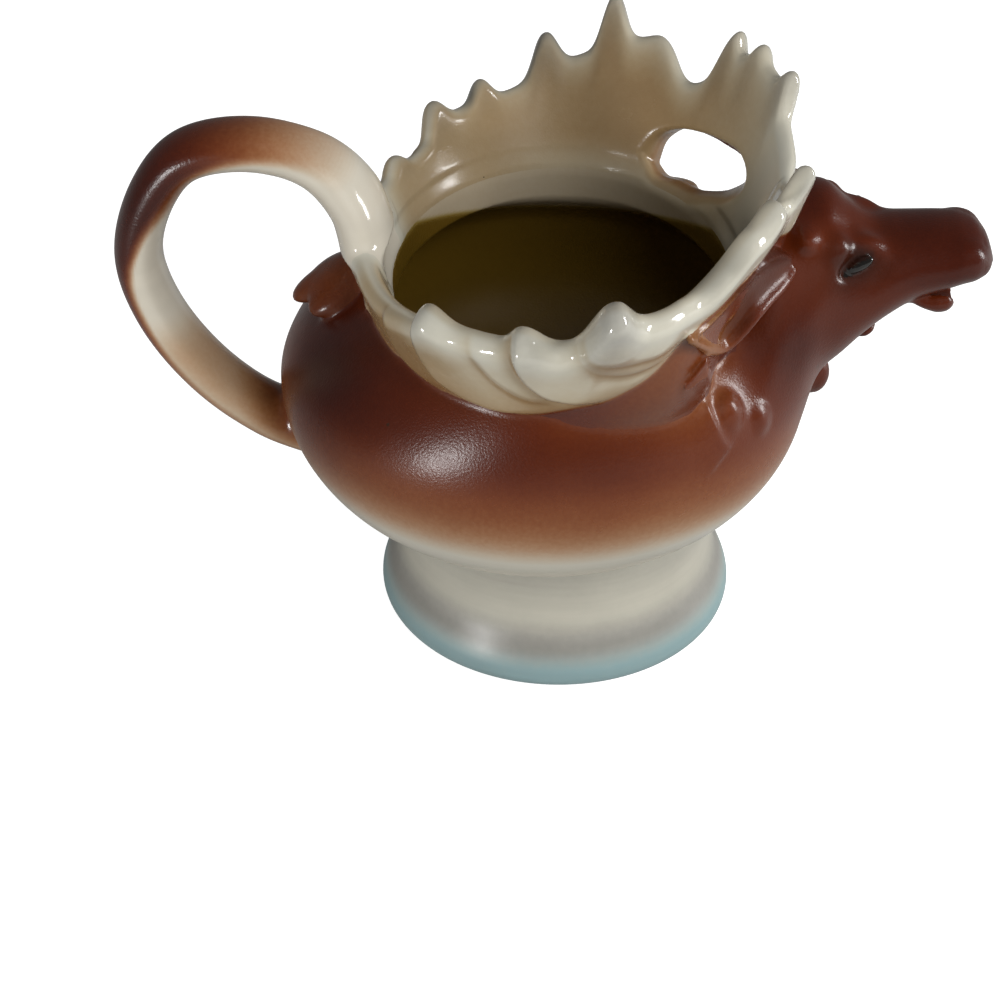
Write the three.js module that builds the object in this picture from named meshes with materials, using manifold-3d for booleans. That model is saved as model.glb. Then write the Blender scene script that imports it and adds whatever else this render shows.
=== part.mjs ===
// A porcelain cream jug in the form of an elk: a round bowl on a pedestal foot, a hollow
// head that pours, two palmate antlers that make the collar of the mouth, and a loop handle.
// Millimetres, +Z up, the head looks along +X and the foot stands on z = 0.
import * as THREE from 'three';
import { mergeVertices } from 'three/addons/utils/BufferGeometryUtils.js';
import Module from 'manifold-3d';

const wasm = await Module();
wasm.setup();

const { clamp, degToRad, lerp, radToDeg, smoothstep } = THREE.MathUtils;

// Slip line left between two cast pieces
const SEAM = 0.3;

// Pedestal foot
const FOOT_HEIGHT = 27;
const FOOT_LIP_RADIUS = 32.5;
const FOOT_LIP_HEIGHT = 3;
const FOOT_LIP_ROUND = 4;
const FOOT_WAIST_RADIUS = 28.4;
const FOOT_WAIST_HEIGHT = 16;
const FOOT_TOP_RADIUS = 29.6;
const FOOT_WALL = 4;

// Bowl, with its axis set back from the foot's axis
const BOWL_WALL = 3.2;
const BOWL_FLOOR = 4;
const BOWL_BASE_RADIUS = 30.5;
const BELLY_RADIUS = 46.4;
const BELLY_RISE = 21;
const SHOULDER_RISE = 19;
const BOWL_SET_BACK = 2.9;
const MOUTH_LENGTH = 58;
const MOUTH_WIDTH = 74.8;
const BELLY_CURL = 0.56;
const SHOULDER_BEND = 0.66;

// Antlers: a collar that leans out from the mouth, from beside the handle to the crown
const COLLAR_CREASE = 1;
const COLLAR_SEAT = 2;
const COLLAR_LEAN_FRONT = 21.5;
const COLLAR_LEAN_SIDE = 31;
const COLLAR_LEAN_BACK = 24;
const ANTLER_FRONT = radToDeg(SEAM / MOUTH_LENGTH);
const ANTLER_BACK = 163;
const ANTLER_BASE_THICKNESS = 4.4;
const ANTLER_EDGE_THICKNESS = 3;
const ANTLER_RIB = 1;
const RIB_FOCUS = 62;
const RIB_GATHER = 0.7;

// Height of the palm above the crease at angles round the mouth, from the head backwards
const PALM_HEIGHT = 26;
const PALM = [
  { at: ANTLER_FRONT, share: 0.69 },
  { at: 10, share: 0.77 },
  { at: 21, share: 0.86 },
  { at: 31, share: 1 },
  { at: 45, share: 1 },
  { at: 60, share: 0.655 },
  { at: 74, share: 0.81 },
  { at: 87, share: 0.67 },
  { at: 103, share: 0.477 },
  { at: 119, share: 0.43 },
  { at: 135, share: 0.315 },
  { at: ANTLER_BACK, share: 0.308 },
];

// Tines on the palm's edge: the angle, the share of the longest and the width of the flanks
const TINE_RISE = 7.8;
const TINES = [
  { at: 25.5, share: 0.59, front: 2.6, rear: 4 },
  { at: 41, share: 0.28, front: 3, rear: 2.4 },
  { at: 50.5, share: 0.69, front: 2.6, rear: 3.2 },
  { at: 69, share: 0.26, front: 4.5, rear: 4 },
  { at: 81.7, share: 1, front: 3.4, rear: 2.4 },
  { at: 95.4, share: 0.77, front: 3.6, rear: 3.2 },
  { at: 111, share: 0.41, front: 3.2, rear: 3 },
  { at: 126, share: 0.54, front: 4.5, rear: 3.6 },
  { at: 145, share: 0.28, front: 4, rear: 5 },
];

// Opening pierced between the palm, the brow palm and the mouth
const PIERCE_AT = 47.5;
const PIERCE_HEIGHT = 7.3;
const PIERCE_LENGTH = 25;
const PIERCE_WIDTH = 10;
const PIERCE_TILT = 17;

// Head and neck
const POLL_RISE = 18.6;
const NOSE_REACH = 29.2;
const NECK_WIDTH = 41;
const CHEEK_WIDTH = 25;
const MUZZLE_WIDTH = 18;
const JAW_DROP = 9;
const LIP_REACH = 23.4;
const LIP_DROP = 2.4;
const LIP_WIDTH = 10;
const BROW_LENGTH = 10;
const EYE_LENGTH = 6;
const THROAT_WIDTH = 20;
const THROAT_HEIGHT = 11;
const SPOUT_WIDTH = 9.4;
const SPOUT_HEIGHT = 5.8;

// Handle
const HANDLE_REACH = 23.8;
const HANDLE_RISE = 23.5;
const HANDLE_ROOT_RISE = 8;
const HANDLE_THICKNESS = 8.2;
const HANDLE_WIDTH = 12.6;
const HANDLE_SADDLE_HEIGHT = 7;

// Applied pieces
const EAR_FRONT = 16.4;
const EAR_BACK = 60.8;
const EAR_HEIGHT = 14;
const EAR_WIDTH = 11;
const EAR_DEPTH = 7;
const EAR_WALL = 1.8;
const LEAF_LENGTH = 16;
const LEAF_WIDTH = 9;
const LEAF_THICKNESS = 5;
const LEAF_FAN = 36;
const BELL_LENGTH = 7.6;
const BELL_WIDTH = 5.6;
const RUFF_RELIEF = 2;
const RUFF_FRONT = 27;
const RUFF_BACK = 56;
const RUFF_DROP = 19;

// Levels and places that follow from the driving dimensions
const BELLY_Z = FOOT_HEIGHT + BELLY_RISE;
const RIM_Z = BELLY_Z + SHOULDER_RISE;
const CREASE_Z = RIM_Z + COLLAR_CREASE;
const BOWL_FRONT = BELLY_RADIUS - BOWL_SET_BACK;
const BOWL_BACK = -BELLY_RADIUS - BOWL_SET_BACK;

// Closed loft through rings of equal count, with a fan at each end
function loft(rings) {
  const count = rings[0].length;
  const middle = (ring) => ring.reduce((sum, p) => sum.add(p), new THREE.Vector3()).divideScalar(count);
  const points = [...rings.flat(), middle(rings[0]), middle(rings.at(-1))];
  const index = [];
  for (let i = 0; i + 1 < rings.length; i++) {
    for (let j = 0; j < count; j++) {
      const a = i * count + j;
      const b = i * count + (j + 1) % count;
      index.push(a, b, a + count, b, b + count, a + count);
    }
  }
  const last = (rings.length - 1) * count;
  const start = rings.length * count;
  for (let j = 0; j < count; j++) {
    const next = (j + 1) % count;
    index.push(start, next, j, start + 1, last + j, last + next);
  }
  const geometry = new THREE.BufferGeometry().setFromPoints(points);
  return geometry.setIndex(index);
}

function signedVolume(positions, index) {
  const [a, b, c] = [0, 1, 2].map(() => new THREE.Vector3());
  let volume = 0;
  for (let i = 0; i < index.length; i += 3) {
    a.fromArray(positions, 3 * index[i]);
    b.fromArray(positions, 3 * index[i + 1]);
    c.fromArray(positions, 3 * index[i + 2]);
    volume += a.dot(b.cross(c)) / 6;
  }
  return volume;
}

// Solid from a closed geometry, its faces turned outwards
function solid(geometry) {
  const bare = geometry.clone();
  bare.deleteAttribute('normal');
  bare.deleteAttribute('uv');
  const merged = mergeVertices(bare, 1e-4);
  const vertProperties = Float32Array.from(merged.attributes.position.array);
  const triVerts = Uint32Array.from(merged.index.array);
  if (signedVolume(vertProperties, triVerts) < 0) triVerts.reverse();
  return new wasm.Manifold(new wasm.Mesh({ numProp: 3, vertProperties, triVerts }));
}

function piece(name, form, colour, roughness) {
  const mesh = form.getMesh();
  const geometry = new THREE.BufferGeometry();
  geometry.setAttribute('position', new THREE.BufferAttribute(mesh.vertProperties, 3));
  geometry.setIndex(new THREE.BufferAttribute(mesh.triVerts, 1));
  geometry.computeVertexNormals();
  const material = new THREE.MeshStandardMaterial({ color: colour, roughness, metalness: 0 });
  const node = new THREE.Mesh(geometry, material);
  node.name = name;
  return node;
}

function ovalRing(cx, cy, z, rx, ry, count) {
  return Array.from({ length: count }, (_, i) => {
    const turn = (2 * Math.PI * i) / count;
    return new THREE.Vector3(cx + rx * Math.cos(turn), cy + ry * Math.sin(turn), z);
  });
}

// Ellipsoid with its radii along the given frame
function ellipsoid(centre, radii, frame = new THREE.Matrix4()) {
  const geometry = new THREE.SphereGeometry(1, 14, 9);
  geometry.scale(radii.x, radii.y, radii.z);
  geometry.applyMatrix4(frame);
  geometry.translate(centre.x, centre.y, centre.z);
  return solid(geometry);
}

// Frame with X along the given axis and Z as near to the given facing as it can be
function frameAlong(axis, facing) {
  const x = axis.clone().normalize();
  const y = new THREE.Vector3().crossVectors(facing, x).normalize();
  const z = new THREE.Vector3().crossVectors(x, y);
  return new THREE.Matrix4().makeBasis(x, y, z);
}

// Pedestal foot: a turned ring, open below
function footForm() {
  const inner = FOOT_TOP_RADIUS - FOOT_WALL;
  const top = FOOT_HEIGHT - SEAM;
  const outside = new THREE.SplineCurve([
    new THREE.Vector2(FOOT_LIP_RADIUS - FOOT_LIP_ROUND, 0),
    new THREE.Vector2(FOOT_LIP_RADIUS, FOOT_LIP_HEIGHT),
    new THREE.Vector2(FOOT_WAIST_RADIUS, FOOT_WAIST_HEIGHT),
    new THREE.Vector2(FOOT_TOP_RADIUS, top),
  ]);
  const inside = new THREE.SplineCurve([
    new THREE.Vector2(inner, top),
    new THREE.Vector2(FOOT_WAIST_RADIUS - FOOT_WALL, FOOT_WAIST_HEIGHT),
    new THREE.Vector2(FOOT_LIP_RADIUS - FOOT_LIP_ROUND - FOOT_WALL, 0),
  ]);
  const profile = [...outside.getPoints(10), ...inside.getPoints(4)];
  return solid(new THREE.LatheGeometry([...profile, profile[0]], 40).rotateX(Math.PI / 2));
}

// Middle and half axes of the bowl's outside at a level
function bowlSection(z) {
  if (z <= BELLY_Z) {
    const share = clamp((z - FOOT_HEIGHT) / BELLY_RISE, 0, 1);
    const swell = Math.sin((share * Math.PI) / 2) ** BELLY_CURL;
    const radius = lerp(BOWL_BASE_RADIUS, BELLY_RADIUS, swell);
    return { cx: -BOWL_SET_BACK, rx: radius, ry: radius };
  }
  const share = clamp((z - BELLY_Z) / SHOULDER_RISE, 0, 1);
  const flat = Math.sqrt(1 - SHOULDER_BEND ** 2);
  const dome = (Math.sqrt(1 - (SHOULDER_BEND * share) ** 2) - flat) / (1 - flat);
  return {
    cx: lerp(-BOWL_SET_BACK, 0, smoothstep(share, 0, 1)),
    rx: lerp(MOUTH_LENGTH / 2 + BOWL_WALL, BELLY_RADIUS, dome),
    ry: lerp(MOUTH_WIDTH / 2 + BOWL_WALL, BELLY_RADIUS, dome),
  };
}

// How far the bowl's outside moves across Z for each millimetre along its normal
function bowlSpread(z) {
  const step = 0.5;
  const above = bowlSection(z + step);
  const below = bowlSection(z - step);
  return Math.hypot(1, (above.rx + above.ry - below.rx - below.ry) / (4 * step));
}

// Ring of the bowl at a level, moved out along the surface by grow
function bowlRing(z, grow, count = 40) {
  const { cx, rx, ry } = bowlSection(z);
  const offset = grow * bowlSpread(z);
  return ovalRing(cx, 0, z, rx + offset, ry + offset, count);
}

// The bowl's outside as a filled form, grown on every side
function bowlForm(grow = 0) {
  const steps = 10;
  const rings = [];
  for (let i = 0; i <= steps; i++) {
    rings.push(bowlRing(lerp(FOOT_HEIGHT, RIM_Z, i / steps), grow));
  }
  rings[0].forEach((p) => { p.z -= grow; });
  rings.at(-1).forEach((p) => { p.z += grow; });
  return solid(loft(rings));
}

// Room inside the bowl, open through the rim
function bowlRoom() {
  const floor = FOOT_HEIGHT + BOWL_FLOOR;
  const steps = 9;
  const rings = [];
  for (let i = 0; i <= steps; i++) {
    rings.push(bowlRing(lerp(floor, RIM_Z, i / steps), -BOWL_WALL));
  }
  const mouth = ovalRing(0, 0, CREASE_Z, MOUTH_LENGTH / 2, MOUTH_WIDTH / 2, 40);
  return solid(loft([...rings, mouth]));
}

function collarLean(angle) {
  const toSide = smoothstep(angle, 36, 86);
  const toBack = smoothstep(angle, 96, 134);
  const lean = lerp(lerp(COLLAR_LEAN_FRONT, COLLAR_LEAN_SIDE, toSide), COLLAR_LEAN_BACK, toBack);
  return degToRad(lean);
}

// Point of the collar at an angle round the mouth, a height up its inner face and a depth out from it
function collarPoint(angle, height, depth, side) {
  const turn = degToRad(angle);
  const lean = collarLean(angle);
  const mouth = 1 / Math.hypot((2 * Math.cos(turn)) / MOUTH_LENGTH, (2 * Math.sin(turn)) / MOUTH_WIDTH);
  const reach = mouth + height * Math.tan(lean) + depth * Math.cos(lean);
  const z = CREASE_Z + height - depth * Math.sin(lean);
  return new THREE.Vector3(reach * Math.cos(turn), side * reach * Math.sin(turn), z);
}

const palmCurve = new THREE.CubicInterpolant(
  PALM.map((knot) => knot.at),
  PALM.map((knot) => PALM_HEIGHT * knot.share),
  1,
);

// Share of each tine at an angle: 1 on its ridge, falling away down both flanks
function tineShare(tine, angle) {
  const flank = angle < tine.at ? tine.front : tine.rear;
  return Math.exp(-(((angle - tine.at) / flank) ** 2));
}

function antlerHeight(angle) {
  const palm = palmCurve.evaluate(clamp(angle, ANTLER_FRONT, ANTLER_BACK))[0];
  return TINES.reduce((sum, tine) => sum + TINE_RISE * tine.share * tineShare(tine, angle), palm);
}

// Rib on the outer face that runs from a tine down and forward to the focus
function ribShare(angle, share) {
  const spread = lerp(RIB_GATHER, 1, share);
  const source = RIB_FOCUS + (angle - RIB_FOCUS) / spread;
  const rib = TINES.reduce((most, tine) => Math.max(most, tineShare(tine, source)), 0);
  return rib * smoothstep(angle, 40, 70);
}

// Section of the antler at an angle: up the inner face, over the edge and down the outer face
function antlerSection(angle, side, grow) {
  const rows = 5;
  const top = antlerHeight(angle);
  const inner = [];
  const outer = [];
  for (let i = 0; i <= rows; i++) {
    const share = i / rows;
    const height = lerp(-COLLAR_SEAT - grow, top, share);
    const flank = lerp(-grow, top, share);
    const thickness = lerp(ANTLER_BASE_THICKNESS, ANTLER_EDGE_THICKNESS, share);
    const rib = ANTLER_RIB * ribShare(angle, share) * Math.sin(Math.PI * share);
    const round = i === rows ? 0.25 * thickness : 0;
    inner.push(collarPoint(angle, height, round - grow, side));
    outer.push(collarPoint(angle, flank, thickness + rib - round + grow, side));
  }
  const crest = collarPoint(angle, top + 0.3 * ANTLER_EDGE_THICKNESS + grow, ANTLER_EDGE_THICKNESS / 2, side);
  return [...inner, crest, ...outer.reverse()];
}

function antlerForm(side, grow = 0) {
  const columns = 66;
  const overrun = grow ? 1 : 0;
  const rings = [];
  for (let i = 0; i <= columns; i++) {
    const angle = lerp(ANTLER_FRONT - overrun, ANTLER_BACK + overrun, i / columns);
    rings.push(antlerSection(angle, side, grow));
  }
  return solid(loft(rings));
}

// Slanted oval cutter through one antler
function pierceForm(side) {
  const centre = collarPoint(PIERCE_AT, PIERCE_HEIGHT, ANTLER_BASE_THICKNESS / 2, side);
  const ahead = collarPoint(PIERCE_AT - 1, PIERCE_HEIGHT, ANTLER_BASE_THICKNESS / 2, side);
  const outward = collarPoint(PIERCE_AT, PIERCE_HEIGHT, 2 * ANTLER_BASE_THICKNESS, side).sub(centre);
  const shape = new THREE.Shape().absellipse(0, 0, PIERCE_LENGTH / 2, PIERCE_WIDTH / 2, 0, 2 * Math.PI);
  const depth = 4 * ANTLER_BASE_THICKNESS;
  const geometry = new THREE.ExtrudeGeometry(shape, { depth, bevelEnabled: false, curveSegments: 14 });
  geometry.translate(0, 0, -depth / 2);
  geometry.rotateZ(-side * degToRad(PIERCE_TILT));
  geometry.applyMatrix4(frameAlong(ahead.sub(centre), outward));
  geometry.translate(centre.x, centre.y, centre.z);
  return solid(geometry);
}

// Ring of the head at one station: a pear-shaped section across X
function headRing({ x, top, bottom, width, pear }, grow, count = 24) {
  const middle = (top + bottom) / 2;
  const half = (top - bottom) / 2 + grow;
  return Array.from({ length: count }, (_, i) => {
    const turn = (2 * Math.PI * i) / count;
    const across = (width / 2 + grow) * Math.sin(turn) * (1 - pear * Math.cos(turn));
    return new THREE.Vector3(x, across, middle + half * Math.cos(turn));
  });
}

// Neck, cranium and muzzle, station by station from inside the bowl to the nose
function craniumStations() {
  const poll = RIM_Z + POLL_RISE;
  const nose = BOWL_FRONT + NOSE_REACH;
  const jaw = RIM_Z - JAW_DROP;
  const station = (x, top, bottom, width, pear) => ({ x, top, bottom, width, pear });
  return [
    station(BOWL_FRONT - 15, poll - 5, BELLY_Z, NECK_WIDTH, 0.25),
    station(BOWL_FRONT - 8.5, poll - 1, BELLY_Z - 2, NECK_WIDTH - 2, 0.25),
    station(BOWL_FRONT - 3.5, poll, BELLY_Z - 1, NECK_WIDTH - 6, 0.22),
    station(BOWL_FRONT + 0.5, poll - 0.6, BELLY_Z + 3.5, CHEEK_WIDTH + 5, 0.12),
    station(BOWL_FRONT + 4.5, poll - 2.4, jaw - 2.6, CHEEK_WIDTH + 1, 0),
    station(BOWL_FRONT + 8, poll - 4, jaw + 1.4, CHEEK_WIDTH - 2, -0.08),
    station(nose - 17, poll - 5.2, jaw + 5, MUZZLE_WIDTH + 2.6, -0.08),
    station(nose - 13, poll - 5.4, jaw + 7.8, MUZZLE_WIDTH + 0.6, -0.02),
    station(nose - 9, poll - 5.4, jaw + 9.6, MUZZLE_WIDTH, 0),
    station(nose - 5.5, poll - 6, jaw + 11.2, MUZZLE_WIDTH - 0.8, 0),
    station(nose - 2.3, poll - 8, jaw + 12, MUZZLE_WIDTH - 4, 0),
    station(nose - 0.5, poll - 10.4, jaw + 13.8, MUZZLE_WIDTH - 9.5, 0),
  ];
}

// Lower jaw and the lip that the milk runs over
function jawStations() {
  const tip = BOWL_FRONT + LIP_REACH;
  const lip = RIM_Z - LIP_DROP;
  const station = (x, top, bottom, width) => ({ x, top, bottom, width, pear: 0 });
  return [
    station(tip - 15, lip + 3, lip - 4, LIP_WIDTH + 6),
    station(tip - 10, lip + 2.4, lip - 1.6, LIP_WIDTH + 3),
    station(tip - 5, lip + 1.4, lip - 1, LIP_WIDTH),
    station(tip - 1.4, lip + 1.2, lip - 0.9, LIP_WIDTH - 2),
    station(tip, lip + 0.7, lip - 0.1, LIP_WIDTH - 5),
  ];
}

// Brow over one eye
function browForm(side, grow) {
  const across = side * (CHEEK_WIDTH / 2 - 5);
  const centre = new THREE.Vector3(BOWL_FRONT + 5.2, across, RIM_Z + POLL_RISE - 6.8);
  const frame = frameAlong(new THREE.Vector3(1, -0.25 * side, -0.2), new THREE.Vector3(0, side, 0.5));
  const radii = new THREE.Vector3(BROW_LENGTH / 2, BROW_LENGTH / 3.9, BROW_LENGTH / 4.2).addScalar(grow);
  return ellipsoid(centre, radii, frame);
}

// Almond eye under the brow, slanted up to the front
function eyeForm(side, grow) {
  const across = side * (CHEEK_WIDTH / 2 - 1.9);
  const centre = new THREE.Vector3(BOWL_FRONT + 5.8, across, RIM_Z + POLL_RISE - 9.6);
  const frame = frameAlong(new THREE.Vector3(1, 0, 0.6), new THREE.Vector3(0, side, 0.3));
  const radii = new THREE.Vector3(EYE_LENGTH / 2, EYE_LENGTH / 4, EYE_LENGTH / 4.6).addScalar(grow);
  return ellipsoid(centre, radii, frame);
}

function headForm(grow = 0) {
  const cranium = solid(loft(craniumStations().map((station) => headRing(station, grow))));
  const jaw = solid(loft(jawStations().map((station) => headRing(station, grow, 16))));
  return [1, -1].reduce(
    (head, side) => head.add(browForm(side, grow)).add(eyeForm(side, grow)),
    cranium.add(jaw),
  );
}

// Pouring passage: wide where it leaves the bowl's room, narrow at the mouth
function spoutRoom() {
  const lip = RIM_Z - LIP_DROP + SPOUT_HEIGHT / 2;
  const path = new THREE.CatmullRomCurve3([
    new THREE.Vector3(BOWL_FRONT - 13, 0, RIM_Z - 9.5),
    new THREE.Vector3(BOWL_FRONT, 0, RIM_Z - 5),
    new THREE.Vector3(BOWL_FRONT + LIP_REACH - 13, 0, lip),
    new THREE.Vector3(BOWL_FRONT + NOSE_REACH + 4, 0, lip),
  ]);
  const rings = path.getPoints(12).map(({ x, z }) => {
    const narrow = smoothstep(x, BOWL_FRONT - 13, BOWL_FRONT + LIP_REACH - 10);
    const half = lerp(THROAT_HEIGHT, SPOUT_HEIGHT, narrow) / 2;
    const width = lerp(THROAT_WIDTH, SPOUT_WIDTH, narrow);
    return headRing({ x, top: z + half, bottom: z - half, width, pear: 0 }, 0, 16);
  });
  return solid(loft(rings));
}

// Room inside the collar and over its edge, which keeps the neck and the ears out of the opening
function collarRoom() {
  const count = 48;
  const ring = (height) => Array.from({ length: count }, (_, i) => {
    const angle = (360 * i) / count;
    const folded = angle > 180 ? 360 - angle : angle;
    return collarPoint(folded, height, ANTLER_EDGE_THICKNESS, angle > 180 ? -1 : 1);
  });
  return solid(loft([ring(-COLLAR_CREASE - COLLAR_SEAT), ring(2 * POLL_RISE)]));
}

// Middle line of the handle, from its root on the bowl up and over to the rim
function handlePath() {
  const back = BOWL_BACK - HANDLE_REACH;
  const crown = RIM_Z + HANDLE_RISE;
  const root = FOOT_HEIGHT + HANDLE_ROOT_RISE;
  const saddle = RIM_Z + HANDLE_SADDLE_HEIGHT;
  const rimBack = -MOUTH_LENGTH / 2 - ANTLER_BASE_THICKNESS;
  const along = (share) => lerp(BOWL_BACK, back, share);
  const up = (share) => lerp(root, crown, share);
  const line = [
    [along(-0.3), up(-0.03)],
    [along(0.14), up(0.04)],
    [along(0.56), up(0.19)],
    [along(0.89), up(0.41)],
    [back, up(0.62)],
    [along(0.85), up(0.83)],
    [along(0.6), up(0.957)],
    [along(0.14), crown],
    [lerp(rimBack, BOWL_BACK, 0.51), lerp(crown, saddle, 0.18)],
    [lerp(rimBack, BOWL_BACK, 0.13), lerp(crown, saddle, 0.58)],
    [rimBack, saddle],
  ];
  return new THREE.CatmullRomCurve3(line.map(([x, z]) => new THREE.Vector3(x, 0, z)));
}

// Loop handle: an oval section that spreads where it meets the collar, with a saddle on the rim
function handleForm(grow = 0) {
  const path = handlePath();
  const steps = 30;
  const count = 16;
  const rings = [];
  for (let i = 0; i <= steps; i++) {
    const share = i / steps;
    const point = path.getPointAt(share);
    const tangent = path.getTangentAt(share);
    const across = new THREE.Vector3(-tangent.z, 0, tangent.x);
    const flare = smoothstep(share, 0.8, 1);
    const thick = HANDLE_THICKNESS / 2 + 0.6 * flare + grow;
    const wide = HANDLE_WIDTH / 2 + 3.4 * flare + grow;
    rings.push(Array.from({ length: count }, (_, j) => {
      const turn = (2 * Math.PI * j) / count;
      const ring = point.clone().addScaledVector(across, thick * Math.cos(turn));
      ring.y += wide * Math.sin(turn);
      return ring;
    }));
  }
  return solid(loft(rings)).add(saddleForm(grow));
}

// Stretch of the collar behind the mouth that carries the handle
function saddleForm(grow) {
  const steps = 8;
  const rings = [];
  for (let i = 0; i <= steps; i++) {
    const angle = lerp(ANTLER_BACK - 2, 362 - ANTLER_BACK, i / steps);
    const folded = angle > 180 ? 360 - angle : angle;
    const side = angle > 180 ? -1 : 1;
    const low = -COLLAR_SEAT - grow;
    const high = HANDLE_SADDLE_HEIGHT + grow;
    const deep = ANTLER_BASE_THICKNESS + grow;
    rings.push([
      collarPoint(folded, low, -grow, side),
      collarPoint(folded, high - 1, -grow, side),
      collarPoint(folded, high, deep / 2, side),
      collarPoint(folded, high - 1, deep, side),
      collarPoint(folded, low, deep, side),
    ]);
  }
  return solid(loft(rings));
}

// Middle line of one ear, from the side of the head out and back along the antler's outer face
function earPath(side) {
  const middle = (EAR_FRONT + EAR_BACK) / 2;
  return new THREE.CatmullRomCurve3([
    collarPoint(EAR_FRONT, EAR_HEIGHT - EAR_DEPTH / 4, ANTLER_BASE_THICKNESS + EAR_DEPTH / 3, side),
    collarPoint(middle, EAR_HEIGHT, ANTLER_BASE_THICKNESS, side),
    collarPoint(EAR_BACK, EAR_HEIGHT - EAR_DEPTH / 3, ANTLER_EDGE_THICKNESS, side),
  ]);
}

// Leaf-shaped body along the ear's middle line, with its half width and half depth, lifted off the line
function earBody(side, wide, deep, lift) {
  const path = earPath(side);
  const facing = new THREE.Vector3(0.4, 0.32 * side, 1);
  const steps = 10;
  const count = 12;
  const rings = [];
  for (let i = 0; i <= steps; i++) {
    const share = lerp(0.02, 0.98, i / steps);
    const swell = Math.sin(Math.PI * share) ** 0.7;
    const point = path.getPointAt(share);
    const tangent = path.getTangentAt(share);
    const across = new THREE.Vector3().crossVectors(facing, tangent).normalize();
    const up = new THREE.Vector3().crossVectors(tangent, across);
    rings.push(Array.from({ length: count }, (_, j) => {
      const turn = (2 * Math.PI * j) / count;
      const rise = lift + deep * swell * Math.cos(turn);
      return point.clone().addScaledVector(up, rise).addScaledVector(across, wide * swell * Math.sin(turn));
    }));
  }
  return solid(loft(rings));
}

// Filled ear
function earForm(side) {
  return earBody(side, EAR_WIDTH / 2, EAR_DEPTH / 2, 0);
}

// Hollow of the ear, open upwards
function earRoom(side) {
  return earBody(side, EAR_WIDTH / 2 - EAR_WALL, EAR_DEPTH / 2 - EAR_WALL / 4, EAR_DEPTH / 2);
}

// Leaf of three lobes under the handle's upper root
function leafForm() {
  const root = new THREE.Vector3(-MOUTH_LENGTH / 2 - BOWL_WALL - 1, 0, RIM_Z + HANDLE_SADDLE_HEIGHT / 3);
  const lobes = [-1, 0, 1].map((side) => {
    const turn = degToRad(180 - LEAF_FAN * side);
    const axis = new THREE.Vector3(Math.cos(turn), Math.sin(turn), -0.62).normalize();
    const frame = frameAlong(axis, new THREE.Vector3(Math.cos(turn) / 2, Math.sin(turn) / 2, 1));
    const length = LEAF_LENGTH - 2 * Math.abs(side);
    const centre = root.clone().addScaledVector(axis, length / 2);
    return ellipsoid(centre, new THREE.Vector3(length / 2, LEAF_WIDTH / 2, LEAF_THICKNESS / 2), frame);
  });
  return lobes[0].add(lobes[1]).add(lobes[2]);
}

// Bell of hair that hangs at the throat
function bellForm() {
  const centre = new THREE.Vector3(BOWL_FRONT + BELL_WIDTH / 4, 0, BELLY_Z + 0.3);
  return ellipsoid(centre, new THREE.Vector3(BELL_WIDTH / 2, BELL_WIDTH / 2, BELL_LENGTH / 2));
}

// Point off the bowl's outside at an angle round its axis and a level
function bowlPoint(angle, z, side, relief) {
  const { cx, rx, ry } = bowlSection(z);
  const turn = degToRad(angle);
  const offset = relief * bowlSpread(z);
  return new THREE.Vector3(cx + (rx + offset) * Math.cos(turn), side * (ry + offset) * Math.sin(turn), z);
}

// Relief of the ruff: two locks of hair behind a raised edge, all on a low swell
function ruffRelief(angle, drop) {
  const bump = (offset, width) => Math.exp(-((offset / width) ** 2));
  const front = bump(angle - 35, 4) * bump(drop - 10, 5);
  const back = bump(angle - 43.5, 4) * bump(drop - 7, 5);
  const edge = bump(angle - 51 + ((drop - 6) / 2.8) ** 2, 2) * bump(drop - 6, 7);
  const swell = bump(angle - 42, 11) * bump(drop - 7.5, 8);
  return RUFF_RELIEF * (0.65 * swell + 0.4 * Math.max(front, back, edge)) - SEAM;
}

// Ruff where the neck runs into the bowl, level by level from the rim down
function ruffForm(side) {
  const rows = 12;
  const columns = 14;
  const sunk = -BOWL_WALL / 2;
  const rings = [];
  for (let i = 0; i <= rows; i++) {
    const drop = lerp(-1, RUFF_DROP, i / rows);
    const ring = [];
    for (let j = 0; j <= columns; j++) {
      const angle = lerp(RUFF_FRONT, RUFF_BACK, j / columns);
      ring.push(bowlPoint(angle, RIM_Z - drop, side, ruffRelief(angle, drop)));
    }
    ring.push(bowlPoint(RUFF_BACK, RIM_Z - drop, side, sunk));
    ring.push(bowlPoint(RUFF_FRONT, RIM_Z - drop, side, sunk));
    rings.push(ring);
  }
  return solid(loft(rings));
}

const trim = (form, ...cutters) => cutters.reduce((rest, cutter) => rest.subtract(cutter), form);

const bowlGrown = bowlForm(SEAM);
const headGrown = headForm(SEAM);
const handleGrown = handleForm(SEAM);
const antlersGrown = antlerForm(1, SEAM).add(antlerForm(-1, SEAM));
const spout = spoutRoom();
const collar = collarRoom();

const BROWN = 0x6b2410;
const IVORY = 0xd9d3c4;
const CREAM = 0xc9bfae;
const OFF_WHITE = 0xb9b6b0;

const jug = new THREE.Group();
jug.add(piece('pedestal_foot', footForm(), OFF_WHITE, 0.25));
jug.add(piece('bowl', trim(bowlForm(), bowlRoom(), spout), BROWN, 0.38));
jug.add(piece('head_spout', trim(headForm(), collar, antlersGrown, bowlGrown, spout), BROWN, 0.35));

for (const [name, side] of [['left', 1], ['right', -1]]) {
  const antler = trim(antlerForm(side), pierceForm(side), bowlGrown);
  const ear = trim(earForm(side), earRoom(side), headGrown, antlersGrown, collar);
  const ruff = trim(ruffForm(side), bowlGrown, headGrown, antlersGrown);
  jug.add(piece(`antler_${name}`, antler, IVORY, 0.18));
  jug.add(piece(`ear_${name}`, ear, BROWN, 0.35));
  jug.add(piece(`neck_ruff_${name}`, ruff, BROWN, 0.38));
}

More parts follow.
